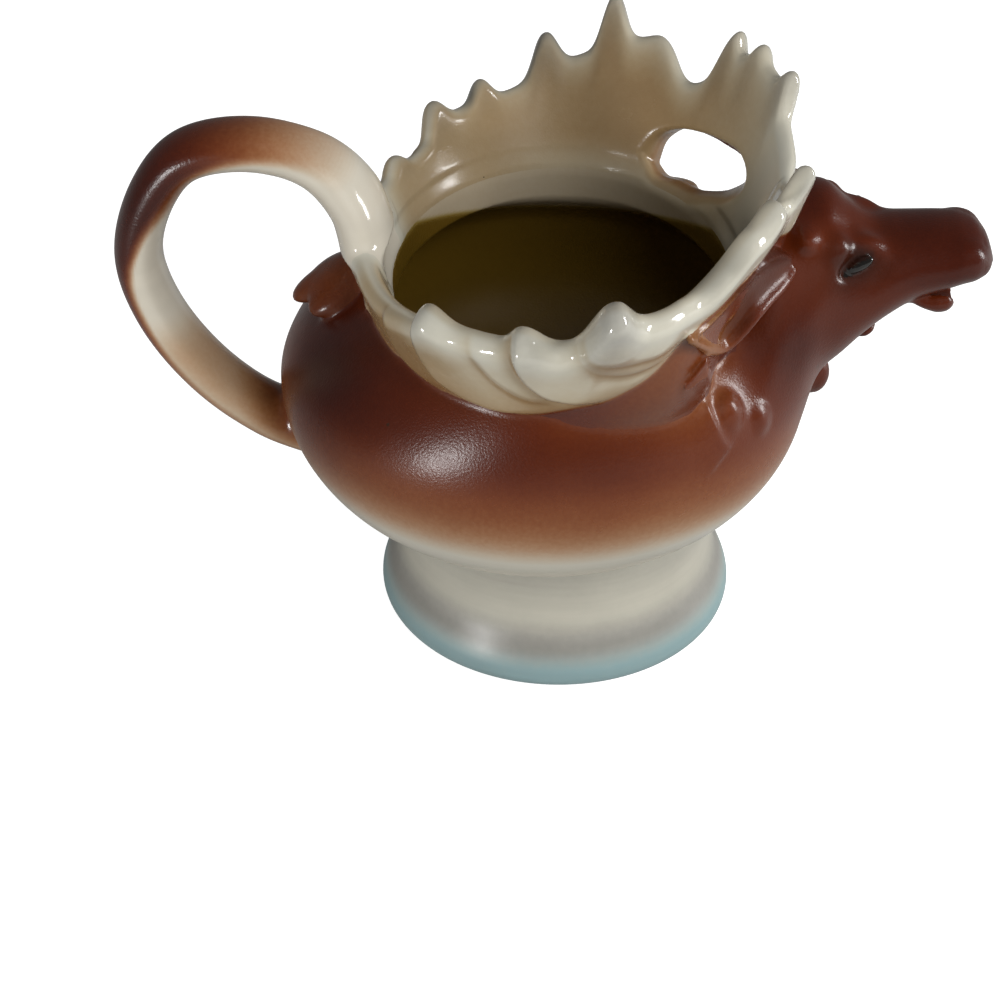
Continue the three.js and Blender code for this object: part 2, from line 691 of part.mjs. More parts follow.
jug.add(piece('handle', trim(handleForm(), bowlGrown, antlersGrown), CREAM, 0.25));
jug.add(piece('handle_leaf', trim(leafForm(), bowlGrown, handleGrown, antlersGrown), BROWN, 0.35));
jug.add(piece('throat_bell', trim(bellForm(), headGrown, bowlGrown), BROWN, 0.35));

// The jug stands over the middle of its length
const box = new THREE.Box3().setFromObject(jug);
jug.position.x = -(box.min.x + box.max.x) / 2;

export default jug;
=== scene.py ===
"""Looks of a glazed porcelain cream jug in the form of an elk.

Every piece is modelled as a signed distance field in millimetres, because a cast jug has no sharp
joints: the pieces are luted together with soft fillets, and each is then cut out again as a closed
mesh that stands for its own CAD node. Airbrushed colour, and painted shade inside the bowl, in the
ear hollows, in the antler creases, on the tine knobs, at the handle's roots and under the jaw, are
sprayed on as density masks, and the materials turn those masks into glaze.
"""

import logging
import math
from dataclasses import dataclass, field
from enum import Enum
from functools import cache

import bpy
import numpy as np
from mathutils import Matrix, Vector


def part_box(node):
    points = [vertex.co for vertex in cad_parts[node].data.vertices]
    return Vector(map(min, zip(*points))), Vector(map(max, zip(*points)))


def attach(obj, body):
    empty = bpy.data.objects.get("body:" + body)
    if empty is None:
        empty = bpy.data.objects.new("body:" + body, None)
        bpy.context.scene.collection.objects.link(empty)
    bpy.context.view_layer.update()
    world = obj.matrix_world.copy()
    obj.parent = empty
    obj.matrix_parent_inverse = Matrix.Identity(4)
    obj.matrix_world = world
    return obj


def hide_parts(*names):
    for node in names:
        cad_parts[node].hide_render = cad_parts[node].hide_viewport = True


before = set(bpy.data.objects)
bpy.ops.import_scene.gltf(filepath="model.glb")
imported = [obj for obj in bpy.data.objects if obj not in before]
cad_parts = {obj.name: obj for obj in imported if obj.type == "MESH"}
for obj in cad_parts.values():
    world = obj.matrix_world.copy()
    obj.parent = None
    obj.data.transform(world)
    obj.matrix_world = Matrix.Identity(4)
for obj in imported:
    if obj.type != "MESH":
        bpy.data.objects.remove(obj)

import openvdb
from mathutils import Matrix, Vector

LOG = logging.getLogger("elk_jug")
MM = 0.001
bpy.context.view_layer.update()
FINE_VOXEL = 0.5
ARC = 0.72
NUMBER = "NodeSocketFloat"
COLOUR = "NodeSocketColor"
Array = np.ndarray
Socket = bpy.types.NodeSocket


class Side(Enum):
    """Side of the jug, as the sign of its Y axis."""

    LEFT = 1
    RIGHT = -1

    @property
    def word(self) -> str:
        """Name used in the CAD nodes."""
        return self.name.lower()


def smoothstep(x: Array, low: float, high: float) -> Array:
    """Ease from 0 at low to 1 at high."""
    share = np.clip((np.asarray(x, float) - low) / (high - low), 0.0, 1.0)
    return share * share * (3.0 - 2.0 * share)


def bell(x: Array, width: float) -> Array:
    """Bell curve of height 1 and the given width."""
    return np.exp(-((np.asarray(x, float) / width) ** 2))


def mix(a: Array, b: Array, share: Array) -> Array:
    """Blend from a to b."""
    return a + (b - a) * share


def unit(v: Array) -> Array:
    """Vectors scaled to length 1."""
    return np.asarray(v, float) / np.maximum(np.linalg.norm(v, axis=-1, keepdims=True), 1e-9)


def circle(count: int) -> Array:
    """Angles of points spaced evenly round a circle."""
    return np.linspace(0, 2 * np.pi, count, endpoint=False)


def weave(x: Array, y: Array, z: Array) -> Array:
    """Points from coordinates that broadcast to one row for each ring."""
    return np.stack(np.broadcast_arrays(x, y, z), -1)


def soft_union(a: Array, b: Array, fillet: float) -> Array:
    """Join two distance fields with a fillet of the given size in millimetres."""
    overlap = np.clip(fillet - np.abs(a - b), 0.0, None) / fillet
    return np.minimum(a, b) - overlap * overlap * (fillet * 0.25)


def through(knots: tuple, x: Array) -> Array:
    """Smooth curve through knots.

    Args:
        knots: rows of position and one or more values, in rising position.
        x: positions to read.

    Returns:
        One row of values for each position.
    """
    table = np.array(knots, float)
    at, values = table[:, 0], table[:, 1:]
    slope = np.gradient(values, at, axis=0)
    x = np.clip(np.asarray(x, float), at[0], at[-1])
    i = np.clip(np.searchsorted(at, x) - 1, 0, len(at) - 2)
    span = (at[i + 1] - at[i])[:, None]
    t = ((x - at[i]) / span[:, 0])[:, None]
    start = (1 + 2 * t) * (1 - t) ** 2 * values[i] + t * (1 - t) ** 2 * span * slope[i]
    end = t * t * (3 - 2 * t) * values[i + 1] + t * t * (t - 1) * span * slope[i + 1]
    return start + end


def path_through(points: list, count: int) -> Array:
    """Smooth curve through points.

    Args:
        points: places in space, in order along the curve.
        count: number of points to return.

    Returns:
        Points spaced evenly along the curve.
    """
    corners = np.array(points, float)
    chord = np.linalg.norm(np.diff(corners, axis=0), axis=1) ** 0.5
    at = np.concatenate([[0.0], np.cumsum(chord)])
    fine = through([(a, *p) for a, p in zip(at, corners)], np.linspace(0, at[-1], 12 * count))
    length = np.concatenate([[0.0], np.cumsum(np.linalg.norm(np.diff(fine, axis=0), axis=1))])
    even = np.linspace(0, length[-1], count)
    return np.stack([np.interp(even, length, fine[:, k]) for k in range(3)], axis=1)


@dataclass
class Shell:
    """Closed polygon body in millimetres."""

    points: Array
    triangles: Array
    quads: Array

    @classmethod
    def loft(cls, rings: Array, endless: bool = False) -> "Shell":
        """Closed body through rings of equal count.

        Args:
            rings: array of ring, point on the ring, and coordinate.
            endless: join the last ring to the first, instead of a fan at each end.

        Returns:
            The closed body.
        """
        rows, count, _ = rings.shape
        j = np.arange(count)
        k = (j + 1) % count
        base = (np.arange(rows if endless else rows - 1) * count)[:, None]
        quads = np.stack([base + j, base + k, base + k + count, base + j + count], -1).reshape(-1, 4)
        if endless:
            return cls(rings.reshape(-1, 3), np.zeros((0, 3), int), quads % (rows * count))
        top = (rows - 1) * count
        first = np.stack([np.full(count, rows * count), k, j], -1)
        last = np.stack([np.full(count, rows * count + 1), top + j, top + k], -1)
        points = np.concatenate([rings.reshape(-1, 3), [rings[0].mean(0), rings[-1].mean(0)]])
        return cls(points, np.concatenate([first, last]), quads)

    @classmethod
    def sweep(cls, line: Array, radii: Array) -> "Shell":
        """Rope along a line, with its radius at each point."""
        tangent = unit(np.gradient(line, axis=0))
        across = unit(np.cross(tangent, [0.0, 0.0, 1.0]))
        up = np.cross(across, tangent)
        turn = circle(24)
        section = np.cos(turn)[:, None] * across[:, None] + np.sin(turn)[:, None] * up[:, None]
        return cls.loft(line[:, None] + radii[:, None, None] * section)

    @classmethod
    def ellipsoid(cls, centre: tuple, radii: tuple, axis: tuple, facing: tuple) -> "Shell":
        """Ellipsoid.

        Args:
            centre: middle of the body.
            radii: half sizes along the axis, across it and along the facing.
            axis: direction of the first radius.
            facing: direction near the third radius.

        Returns:
            The closed body.
        """
        x = unit(np.array(axis, float))
        y = unit(np.cross(np.array(facing, float), x))
        basis = np.stack([x, y, np.cross(x, y)])
        polar = np.linspace(0.02, np.pi - 0.02, 30)[:, None]
        turn = circle(40)
        ball = weave(np.cos(polar), np.sin(polar) * np.cos(turn), np.sin(polar) * np.sin(turn))
        return cls.loft(np.array(centre, float) + (ball * np.array(radii, float)) @ basis)


@dataclass
class Field:
    """Signed distance in millimetres on a window of the lattice."""

    corner: Array
    values: Array

    def on(self, corner: Array, shape: tuple, outside: float) -> Array:
        """Values on another window, with a fixed value where this field has none.

        Args:
            corner: lowest lattice index of the window.
            shape: size of the window in lattice steps.
            outside: value away from this field.

        Returns:
            The values on that window.
        """
        result = np.full(shape, outside, np.float32)
        low = np.maximum(self.corner, corner)
        high = np.minimum(self.corner + self.values.shape, corner + np.array(shape))
        if np.all(high > low):
            there = tuple(slice(a, b) for a, b in zip(low - corner, high - corner))
            here = tuple(slice(a, b) for a, b in zip(low - self.corner, high - self.corner))
            result[there] = self.values[here]
        return result


@dataclass(frozen=True)
class Lattice:
    """Regular lattice on which the porcelain is modelled."""

    voxel: float
    band: float = 9.0

    def field(self, shell: Shell) -> Field:
        """Signed distance to a closed body, within the band.

        Args:
            shell: body in millimetres.

        Returns:
            Its distance field on the smallest window.
        """
        grid = openvdb.FloatGrid.createLevelSetFromPolygons(
            shell.points.astype(np.float32),
            triangles=shell.triangles.astype(np.uint32),
            quads=shell.quads.astype(np.uint32),
            transform=openvdb.createLinearTransform(voxelSize=self.voxel),
            halfWidth=self.band / self.voxel,
        )
        low, high = (np.array(c) for c in grid.evalActiveVoxelBoundingBox())
        values = np.zeros(tuple(high - low + 1), np.float32)
        grid.copyToArray(values, ijk=tuple(int(c) for c in low))
        return Field(low, values)

    def loft(self, rings: Array) -> Field:
        """Field of a closed body through rings."""
        return self.field(Shell.loft(rings))

    def ball(self, centre: tuple, radii: tuple, axis: tuple = (1, 0, 0), facing: tuple = (0, 0, 1)) -> Field:
        """Field of an ellipsoid."""
        return self.field(Shell.ellipsoid(centre, radii, axis, facing))

    def union(self, fields: list[tuple[Field, float]]) -> Field:
        """Fields joined in order, each with its own fillet.

        Args:
            fields: pairs of field and fillet; the first fillet isn't used.

        Returns:
            The joined field on a window that holds them all.
        """
        low = np.min([f.corner for f, _ in fields], axis=0)
        high = np.max([f.corner + f.values.shape for f, _ in fields], axis=0)
        result = fields[0][0].on(low, tuple(high - low), self.band)
        for part, fillet in fields[1:]:
            here = tuple(slice(a, a + n) for a, n in zip(part.corner - low, part.values.shape))
            result[here] = soft_union(result[here], part.values, fillet)
        return Field(low, result)

    def cut(self, base: Field, tool: Field, round_over: float) -> Field:
        """Field with a tool cut out of it and the edge rounded over."""
        there = tool.on(base.corner, base.values.shape, self.band)
        return Field(base.corner, -soft_union(-base.values, there, round_over))

    def read(self, source: Field, points: Array) -> Array:
        """Field values at points, blended between lattice points.

        Args:
            source: distance field.
            points: places in millimetres.

        Returns:
            One value for each point.
        """
        local = points / self.voxel - source.corner
        cell = np.clip(np.floor(local).astype(int), 0, np.array(source.values.shape) - 2)
        t = np.clip(local - cell, 0.0, 1.0)
        total = np.zeros(len(points))
        for corner in np.ndindex(2, 2, 2):
            weight = np.prod(np.where(corner, t, 1 - t), axis=1)
            total += weight * source.values[tuple((cell + np.array(corner)).T)]
        return total

    def slope(self, source: Field, points: Array) -> Array:
        """Gradient of a field at points."""
        step = 0.75 * self.voxel
        shifts = np.eye(3) * step
        sides = [self.read(source, points + shift) - self.read(source, points - shift) for shift in shifts]
        return np.stack(sides, axis=1) / (2 * step)

    def skin(self, source: Field) -> tuple[Array, Array]:
        """Closed surface of a field.

        Args:
            source: distance field.

        Returns:
            Points in millimetres and quads.
        """
        edge = 2 * self.voxel
        grid = openvdb.FloatGrid(edge)
        grid.transform = openvdb.createLinearTransform(voxelSize=self.voxel)
        grid.copyFromArray(np.clip(source.values, -edge, edge), ijk=tuple(int(c) for c in source.corner))
        points, quads = grid.convertToQuads(isovalue=0.0)
        return np.array(points, float), np.array(quads, np.int64)


@dataclass(frozen=True)
class Collar:
    """Leaning collar round the oval mouth, on which the antlers, ears and saddle are laid out."""

    length: float = 58.0
    width: float = 74.8
    crease_z: float = 68.0
    lean_front: float = 21.5
    lean_side: float = 31.0
    lean_back: float = 24.0
    back: float = 164.0

    def plan(self, angle: Array) -> tuple[Array, Array]:
        """Lean of the wall in radians, and reach of the mouth, at angles in degrees."""
        lean = mix(self.lean_front, self.lean_side, smoothstep(angle, 36, 86))
        lean = np.radians(mix(lean, self.lean_back, smoothstep(angle, 96, 134)))
        turn = np.radians(angle)
        return lean, 1 / np.hypot(2 * np.cos(turn) / self.length, 2 * np.sin(turn) / self.width)

    def point(self, angle: Array, height: Array, depth: Array, side: Side) -> Array:
        """Point at an angle round the mouth, a height up the inner face and a depth out from it.

        Args:
            angle: degrees from the head backwards.
            height: millimetres above the crease.
            depth: millimetres out from the inner face.
            side: side of the jug.

        Returns:
            Points in millimetres.
        """
        angle, height, depth = np.broadcast_arrays(*(np.asarray(a, float) for a in (angle, height, depth)))
        lean, mouth = self.plan(angle)
        turn = np.radians(angle)
        reach = mouth + height * np.tan(lean) + depth * np.cos(lean)
        z = self.crease_z + height - depth * np.sin(lean)
        return weave(reach * np.cos(turn), side.value * reach * np.sin(turn), z)

    def around(self, angle: Array, height: Array, depth: Array) -> Array:
        """Points as from point(), at angles from 0 to 360 degrees by way of the left side."""
        ring = self.point(np.where(angle > 180, 360 - angle, angle), height, depth, Side.LEFT)
        ring[..., 1] *= np.where(angle > 180, -1, 1)
        return ring

    def locate(self, points: Array) -> tuple[Array, Array, Array]:
        """Angle, height and depth of points, as laid out by point()."""
        angle = np.degrees(np.arctan2(np.abs(points[:, 1]), points[:, 0]))
        lean, mouth = self.plan(angle)
        rise = points[:, 2] - self.crease_z
        depth = (np.hypot(points[:, 0], points[:, 1]) - mouth - rise * np.tan(lean)) * np.cos(lean)
        return angle, rise + depth * np.sin(lean), depth

    def room(self, depth: float, low: float, high: float) -> Array:
        """Rings of the space inside the collar, out to a depth in its wall."""
        angle = np.linspace(0, 360, 180, endpoint=False)
        return self.around(angle, np.linspace(low, high, 12)[:, None], depth)


COLLAR = Collar()


@dataclass
class CastPiece:
    """One cast or pressed piece of the jug, which stands for a CAD node."""

    node: str = ""
    slot: str = "brown_glaze"
    fillet: float = 2.0

    def form(self, lattice: Lattice) -> Field:
        """Whole piece before it is luted on.

        Args:
            lattice: lattice to work on.

        Returns:
            Its distance field.
        """
        raise NotImplementedError


@dataclass
class PedestalFoot(CastPiece):
    """Turned foot, open below, with a rounded lip."""

    node: str = "pedestal_foot"
    slot: str = "foot_glaze"
    fillet: float = 2.4
    height: float = 27.6
    lip_radius: float = 32.5
    lip_height: float = 3.0
    waist_radius: float = 28.4
    waist_height: float = 16.0
    top_radius: float = 29.6
    wall: float = 4.0

    def form(self, lattice: Lattice) -> Field:
        """Turned ring with a rolled lip."""
        lip, waist, top = self.lip_radius, self.waist_radius, self.top_radius
        profile = [
            (lip - 5.2, 0), (lip - 2.2, 0.1), (lip - 0.5, 1.1), (lip, self.lip_height), (lip - 0.7, 5.6),
            (waist + 1, 10.8), (waist, self.waist_height), (waist + 0.3, 21.5), (top, self.height),
        ]
        outside = through([(i, *p) for i, p in enumerate(profile)], np.linspace(0, len(profile) - 1, 90))
        inside = [(top - self.wall, self.height), (waist - self.wall, self.waist_height)]
        inside += [(lip - 8.4, 1.2), (lip - 7.6, 0.3), (lip - 6.4, 0)]
        radius, z = np.concatenate([outside, inside]).T[..., None]
        turn = circle(240)
        return lattice.field(Shell.loft(weave(radius * np.cos(turn), radius * np.sin(turn), z), endless=True))


@dataclass
class Bowl(CastPiece):
    """Round bowl with an oval mouth, set back from the foot's axis."""

    node: str = "bowl"
    base_z: float = 27.0
    belly_z: float = 48.0
    rim_z: float = 67.0
    base_radius: float = 30.5
    belly_radius: float = 46.4
    set_back: float = 2.9
    wall: float = 3.2
    neck_wall: float = 3.6
    curl: float = 0.56
    bend: float = 0.66
    mouth_flare: float = 0.32

    def section(self, z: Array) -> tuple[Array, Array, Array]:
        """Middle and half axes of the outside at a level.

        Args:
            z: levels in millimetres.

        Returns:
            Middle along X, half length and half width.
        """
        z = np.asarray(z, float)
        low = np.clip((z - self.base_z) / (self.belly_z - self.base_z), 0, 1)
        radius = mix(self.base_radius, self.belly_radius, np.sin(low * np.pi / 2) ** self.curl)
        high = np.clip((z - self.belly_z) / (self.rim_z - self.belly_z), 0, 1)
        flat = math.sqrt(1 - self.bend**2)
        dome = (np.sqrt(1 - (self.bend * high) ** 2) - flat) / (1 - flat)
        above = z > self.belly_z
        cx = mix(-self.set_back, 0.0, smoothstep(high, 0, 1))
        rx = np.where(above, mix(COLLAR.length / 2 + self.wall, self.belly_radius, dome), radius)
        ry = np.where(above, mix(COLLAR.width / 2 + self.wall, self.belly_radius, dome), radius)
        return cx, rx, ry

    def point(self, angle: Array, z: Array, side: Side, proud: float = 0.0) -> Array:
        """Point on the outside at an angle from the head, in degrees, and a level."""
        cx, rx, ry = self.section(z)
        turn = np.radians(angle)
        return weave(cx + (rx + proud) * np.cos(turn), side.value * (ry + proud) * np.sin(turn), z)

    def form(self, lattice: Lattice) -> Field:
        """Filled outside of the bowl."""
        share = np.linspace(0, 1, 70)
        lower = mix(self.base_z, self.belly_z, share**1.6)
        z = np.concatenate([lower, mix(self.belly_z, self.rim_z, share[1:])])[:, None]
        cx, rx, ry = self.section(z)
        turn = circle(280)
        return lattice.loft(weave(cx + rx * np.cos(turn), ry * np.sin(turn), z))

    def room(self, lattice: Lattice, outside: Field) -> Field:
        """Space that holds the cream: the outside moved in by the wall, and open through the mouth.

        Args:
            lattice: lattice to work on.
            outside: the bowl's own field.

        Returns:
            Field of the space.
        """
        turn = circle(240)
        z = np.linspace(self.rim_z - 7.0, COLLAR.crease_z + 2.5, 24)[:, None]
        grow = self.mouth_flare * np.maximum(0.0, z - COLLAR.crease_z)
        x = (COLLAR.length / 2 + grow) * np.cos(turn)
        mouth = lattice.loft(weave(x, (COLLAR.width / 2 + grow) * np.sin(turn), z))
        level = (outside.corner[2] + np.arange(outside.values.shape[2])) * lattice.voxel
        wall = self.wall + self.neck_wall * smoothstep(level, 53.0, 63.5)
        inside = Field(outside.corner, (outside.values + wall).astype(np.float32))
        return lattice.union([(inside, 0.0), (mouth, 1.2)])


BOWL = Bowl()


@dataclass
class Antler(CastPiece):
    """Palmate antler with tines, folds on its outer face and a pierced opening.

    Its lists are laid out on the collar, in degrees from the head and millimetres above the crease.
    """

    slot: str = "ivory_glaze"
    fillet: float = 1.0
    side: Side = Side.LEFT
    base_thickness: float = 4.3
    edge_thickness: float = 3.4
    palm_height: float = 26.0
    tine_rise: float = 7.8
    fold_relief: float = 2.0
    ledge: float = 0.8
    rolled: float = 1.0
    blunt: float = 2.3
    shoulder: float = 4.5
    foot: float = 2.5
    flank_foot: float = 4.5
    pierce_round: float = 1.5
    pierce_arc: float = 0.6
    inset: tuple = ((0, 0), (164, 0))
    hem: tuple = (
        (0, 17), (30, 19.5), (42, 20.6), (49, 18.6), (55, 16), (61.8, 14.75), (65, 13.2), (70.2, 9),
        (75.5, 6), (80.2, 4.1), (85.2, 2.9), (91.5, 1.25), (98, -0.1), (107, -2.2), (164, -2.6),
    )
    palm: tuple = (
        (0, 0.69), (10, 0.77), (21, 0.86), (31, 1), (45, 1), (60, 0.655), (74, 0.81), (87, 0.67),
        (103, 0.477), (119, 0.43), (135, 0.315), (164, 0.308),
    )
    tines: tuple = (
        (25.5, 0.59, 2.6, 4), (41, 0.28, 3, 2.4), (50.5, 0.69, 2.6, 3.2), (69, 0.26, 4.5, 4),
        (81.7, 1, 3.4, 2.4),
        (95.4, 0.77, 3.6, 3.2), (111, 0.41, 3.2, 3), (126, 0.54, 4.5, 3.6), (145, 0.28, 4, 5),
    )
    folds: tuple = (
        (0.5, 0.9, ((134, 13.5), (136, 8), (134.5, 3.5), (130, 1.2), (123, 0.2), (114, -0.5))),
        (1.0, 0.35, ((118, 20), (119.5, 12.5), (118.5, 6.5), (116, 3.8), (110, 2.3), (90, 0.6))),
        (0.4, 0.9, ((107, 18), (105.5, 14), (103.5, 11), (100, 8), (95.5, 5.6), (88, 3.8))),
        (1.0, 0.35, (
            (98.5, 22), (97.8, 17.9), (96.5, 13.6), (94.5, 10.4), (91.5, 7.4), (86.5, 5.3), (78, 4.2),
        )),
        (0.4, 1.0, ((88.5, 23), (84.8, 18.8), (80, 16.4), (75, 15.2), (69, 14.9), (63, 15.8))),
        (0.4, 0.9, ((88, 20), (85.2, 16.4), (80.5, 12.9), (76, 11.6), (70.5, 12), (64.5, 13.8))),
    )
    opening_inside: tuple = (
        (69, 4.2), (66, 7.4), (60, 9.3), (51, 10.8), (41, 11.9), (31, 12.2), (24.5, 9.8), (31, 5),
        (42, 1.6),
        (51, -0.6), (58.5, -0.7), (65, 0.4),
    )
    opening_outside: tuple = (
        (66.2, 3), (64.8, 7), (60, 10), (54, 11.6), (46, 12.6), (37, 13), (29, 11), (36, 6), (44, 3.3),
        (50.5, 2), (56, 1.9), (63, 1.5),
    )

    def tine_share(self, angle: Array) -> Array:
        """Share of the nearest tines at an angle: 1 on the ridge of the longest."""
        total = np.zeros_like(np.asarray(angle, float))
        for at, share, front, rear in self.tines:
            width = np.where(angle < at, front, rear)
            total += share * np.exp(-(np.abs((angle - at) / width) ** self.blunt))
        return total

    def height(self, angle: Array) -> Array:
        """Height of the edge above the crease."""
        angle = np.clip(angle, 0.0, COLLAR.back)
        return self.palm_height * through(self.palm, angle)[:, 0] + self.tine_rise * self.tine_share(angle)

    def read(self, knots: tuple, angle: Array) -> Array:
        """One of the lists at angles of any shape."""
        return through(knots, np.ravel(angle)).reshape(np.shape(angle))

    def bend(self, angle: Array, share: Array) -> Array:
        """How far the plate bends in over the mouth, at a share of its height."""
        return self.read(self.inset, angle) * smoothstep(share, 0.2, 0.9)

    def fold(self, angle: Array, height: Array) -> tuple[Array, Array]:
        """Overlapping folds on the outer face.

        Args:
            angle: degrees round the mouth.
            height: millimetres above the crease.

        Returns:
            Relief in millimetres, and how near each point is to the foot of a fold, from 0 to 1, which sets
            the painted shade in the creases.
        """
        here = np.stack([angle * ARC, height], -1)
        relief = np.zeros(np.shape(angle))
        crease = np.zeros(np.shape(angle))
        for share, soft, line in self.folds:
            knots = path_through([(a * ARC, h, 0.0) for a, h in line], 40)[:, :2]
            gap = here[..., None, :] - knots
            nearest = (gap**2).sum(-1).argmin(-1)
            along = unit(np.gradient(knots, axis=0))[nearest]
            off = np.take_along_axis(gap, nearest[..., None, None], axis=-2)[..., 0, :]
            signed = along[..., 1] * off[..., 0] - along[..., 0] * off[..., 1]
            reach = np.linalg.norm(off, axis=-1)
            place = nearest / (len(knots) - 1.0)
            fade = smoothstep(place, 1.0, 0.7) * smoothstep(place, -0.3, 0.7 * soft)
            lobe = smoothstep(signed, -0.6 * soft, 1.4 * soft) * np.exp(-reach / 7.0)
            relief += share * (lobe - 0.3 * bell(signed + soft, 0.5 + soft)) * fade
            low = np.clip(-signed, 0, None)
            shade = np.exp(-low / 1.5) * bell(reach, 3.2) * smoothstep(signed, soft, -0.4 * soft) * fade
            crease = np.maximum(crease, (0.4 + 0.6 * share) * shade)
        ledge = self.ledge * smoothstep(height - self.read(self.hem, angle), -0.5, 0.5)
        return self.fold_relief * relief + ledge, crease

    def form(self, lattice: Lattice) -> Field:
        """Leaning plate with a rolled edge, folded outside and pierced."""
        angle = np.linspace(-1.0, COLLAR.back, 520)
        share = np.linspace(0, 1, 34)
        a = angle[:, None] + 0 * share
        flank = smoothstep(angle, 100, 88)
        foot = -self.foot - self.flank_foot * flank * smoothstep(angle, 46, 58)
        crest = self.height(angle) - self.edge_thickness * 0.5
        high = foot[:, None] + (crest - foot)[:, None] * share
        front = (1 - smoothstep(a, 55, 75)) * smoothstep(a, 26, 40)
        slender = 1 - 0.3 * smoothstep(a, 46, 30)
        thick = mix(self.base_thickness, self.edge_thickness * slender, share)
        thick = thick + self.rolled * 0.7 * smoothstep(share, 0.72, 0.93) * front
        knob = np.clip(self.tine_share(angle), 0, 1)[:, None] * smoothstep(share, 0.55, 0.95)
        relief, _ = self.fold(a, high)
        for _ in range(2):
            relief[1:-1] = (relief[:-2] + 2 * relief[1:-1] + relief[2:]) / 4
            relief[:, 1:-1] = (relief[:, :-2] + 2 * relief[:, 1:-1] + relief[:, 2:]) / 4
        below = np.clip(through(self.hem, angle) - high, 0, None)
        below = below * (flank * smoothstep(angle, 46, 64))[:, None]
        bend = self.bend(a, share + 0 * a)
        outer = thick + 1.1 * knob * smoothstep(a, 60, 75) + relief * smoothstep(share, 0.0, 0.12)
        outer = outer + self.shoulder * (1 - np.exp(-below / 6.0)) - bend
        inner = -0.5 * knob + 0.4 * smoothstep(share, 0.12, 0.0) - bend
        arc = np.linspace(0, np.pi, 11)[1:-1]
        near, far = inner[:, -1:], outer[:, -1:]
        edge_depth = (near + far) / 2 - (far - near) / 2 * np.cos(arc)
        edge_high = crest[:, None] + 0.62 * self.edge_thickness * np.sin(arc)
        depth = np.concatenate([inner, edge_depth, outer[:, ::-1]], 1)
        level = np.concatenate([high, edge_high, high[:, ::-1]], 1)
        self.hole = lattice.loft(self.opening())
        plate = lattice.loft(COLLAR.point(angle[:, None], level, depth, self.side))
        return lattice.cut(plate, self.hole, self.pierce_round)

    def opening(self) -> Array:
        """Rings of the funnel-shaped cutter of the pierced opening."""
        rings = []
        for depth, share in [(-2.5, -0.25), (0.0, 0.0), (1.4, 0.5), (3.0, 1.0), (9.0, 1.0)]:
            outline = mix(np.array(self.opening_inside), np.array(self.opening_outside), share)
            closed = np.concatenate([outline, outline[:1]])
            smooth = path_through([(a * self.pierce_arc, h, 0.0) for a, h in closed], 60)[:-1]
            rings.append(COLLAR.point(smooth[:, 0] / self.pierce_arc, smooth[:, 1], depth, self.side))
        return np.array(rings)


def right_antler() -> Antler:
    """Right antler, whose tines were rubbed rounder and lower than the left one's."""
    return Antler(
        node="antler_right",
        side=Side.RIGHT,
        inset=(
            (0, 0.3), (15, 0.6), (25, 1), (33, 1.9), (45, 2.2), (57, 2.2), (62, 1.9), (66, 1.2), (71, 0.3),
            (76, 0), (90, 0), (164, 0),
        ),
        palm=(
            (0, 0.69), (10, 0.77), (18, 0.84), (24, 0.98), (31, 0.98), (36, 1), (42, 1.03), (50, 0.99),
            (56, 0.86), (62, 0.76), (68, 0.8), (74, 0.82), (87, 0.66), (92, 0.64), (100, 0.63), (108, 0.61),
            (115, 0.57), (121, 0.47), (128, 0.4), (138, 0.33), (164, 0.308),
        ),
        tines=(
            (25.8, 0.62, 2.6, 3.4), (40.5, 0.32, 3.2, 4.5), (50.5, 0.1, 3, 3), (81.7, 0.95, 4.4, 3.6),
            (96.2, 0.45, 4, 2.6), (117.5, 0.45, 5, 2.8),
        ),
        opening_outside=(
            (53, 8.6), (52.4, 9.8), (51, 10.6), (48, 11), (44, 11.2), (38.5, 11), (34.5, 9.6), (38, 8),
            (42.5, 7.6), (46.5, 7.4), (49.5, 7.4), (52.2, 7.6),
        ),
    )


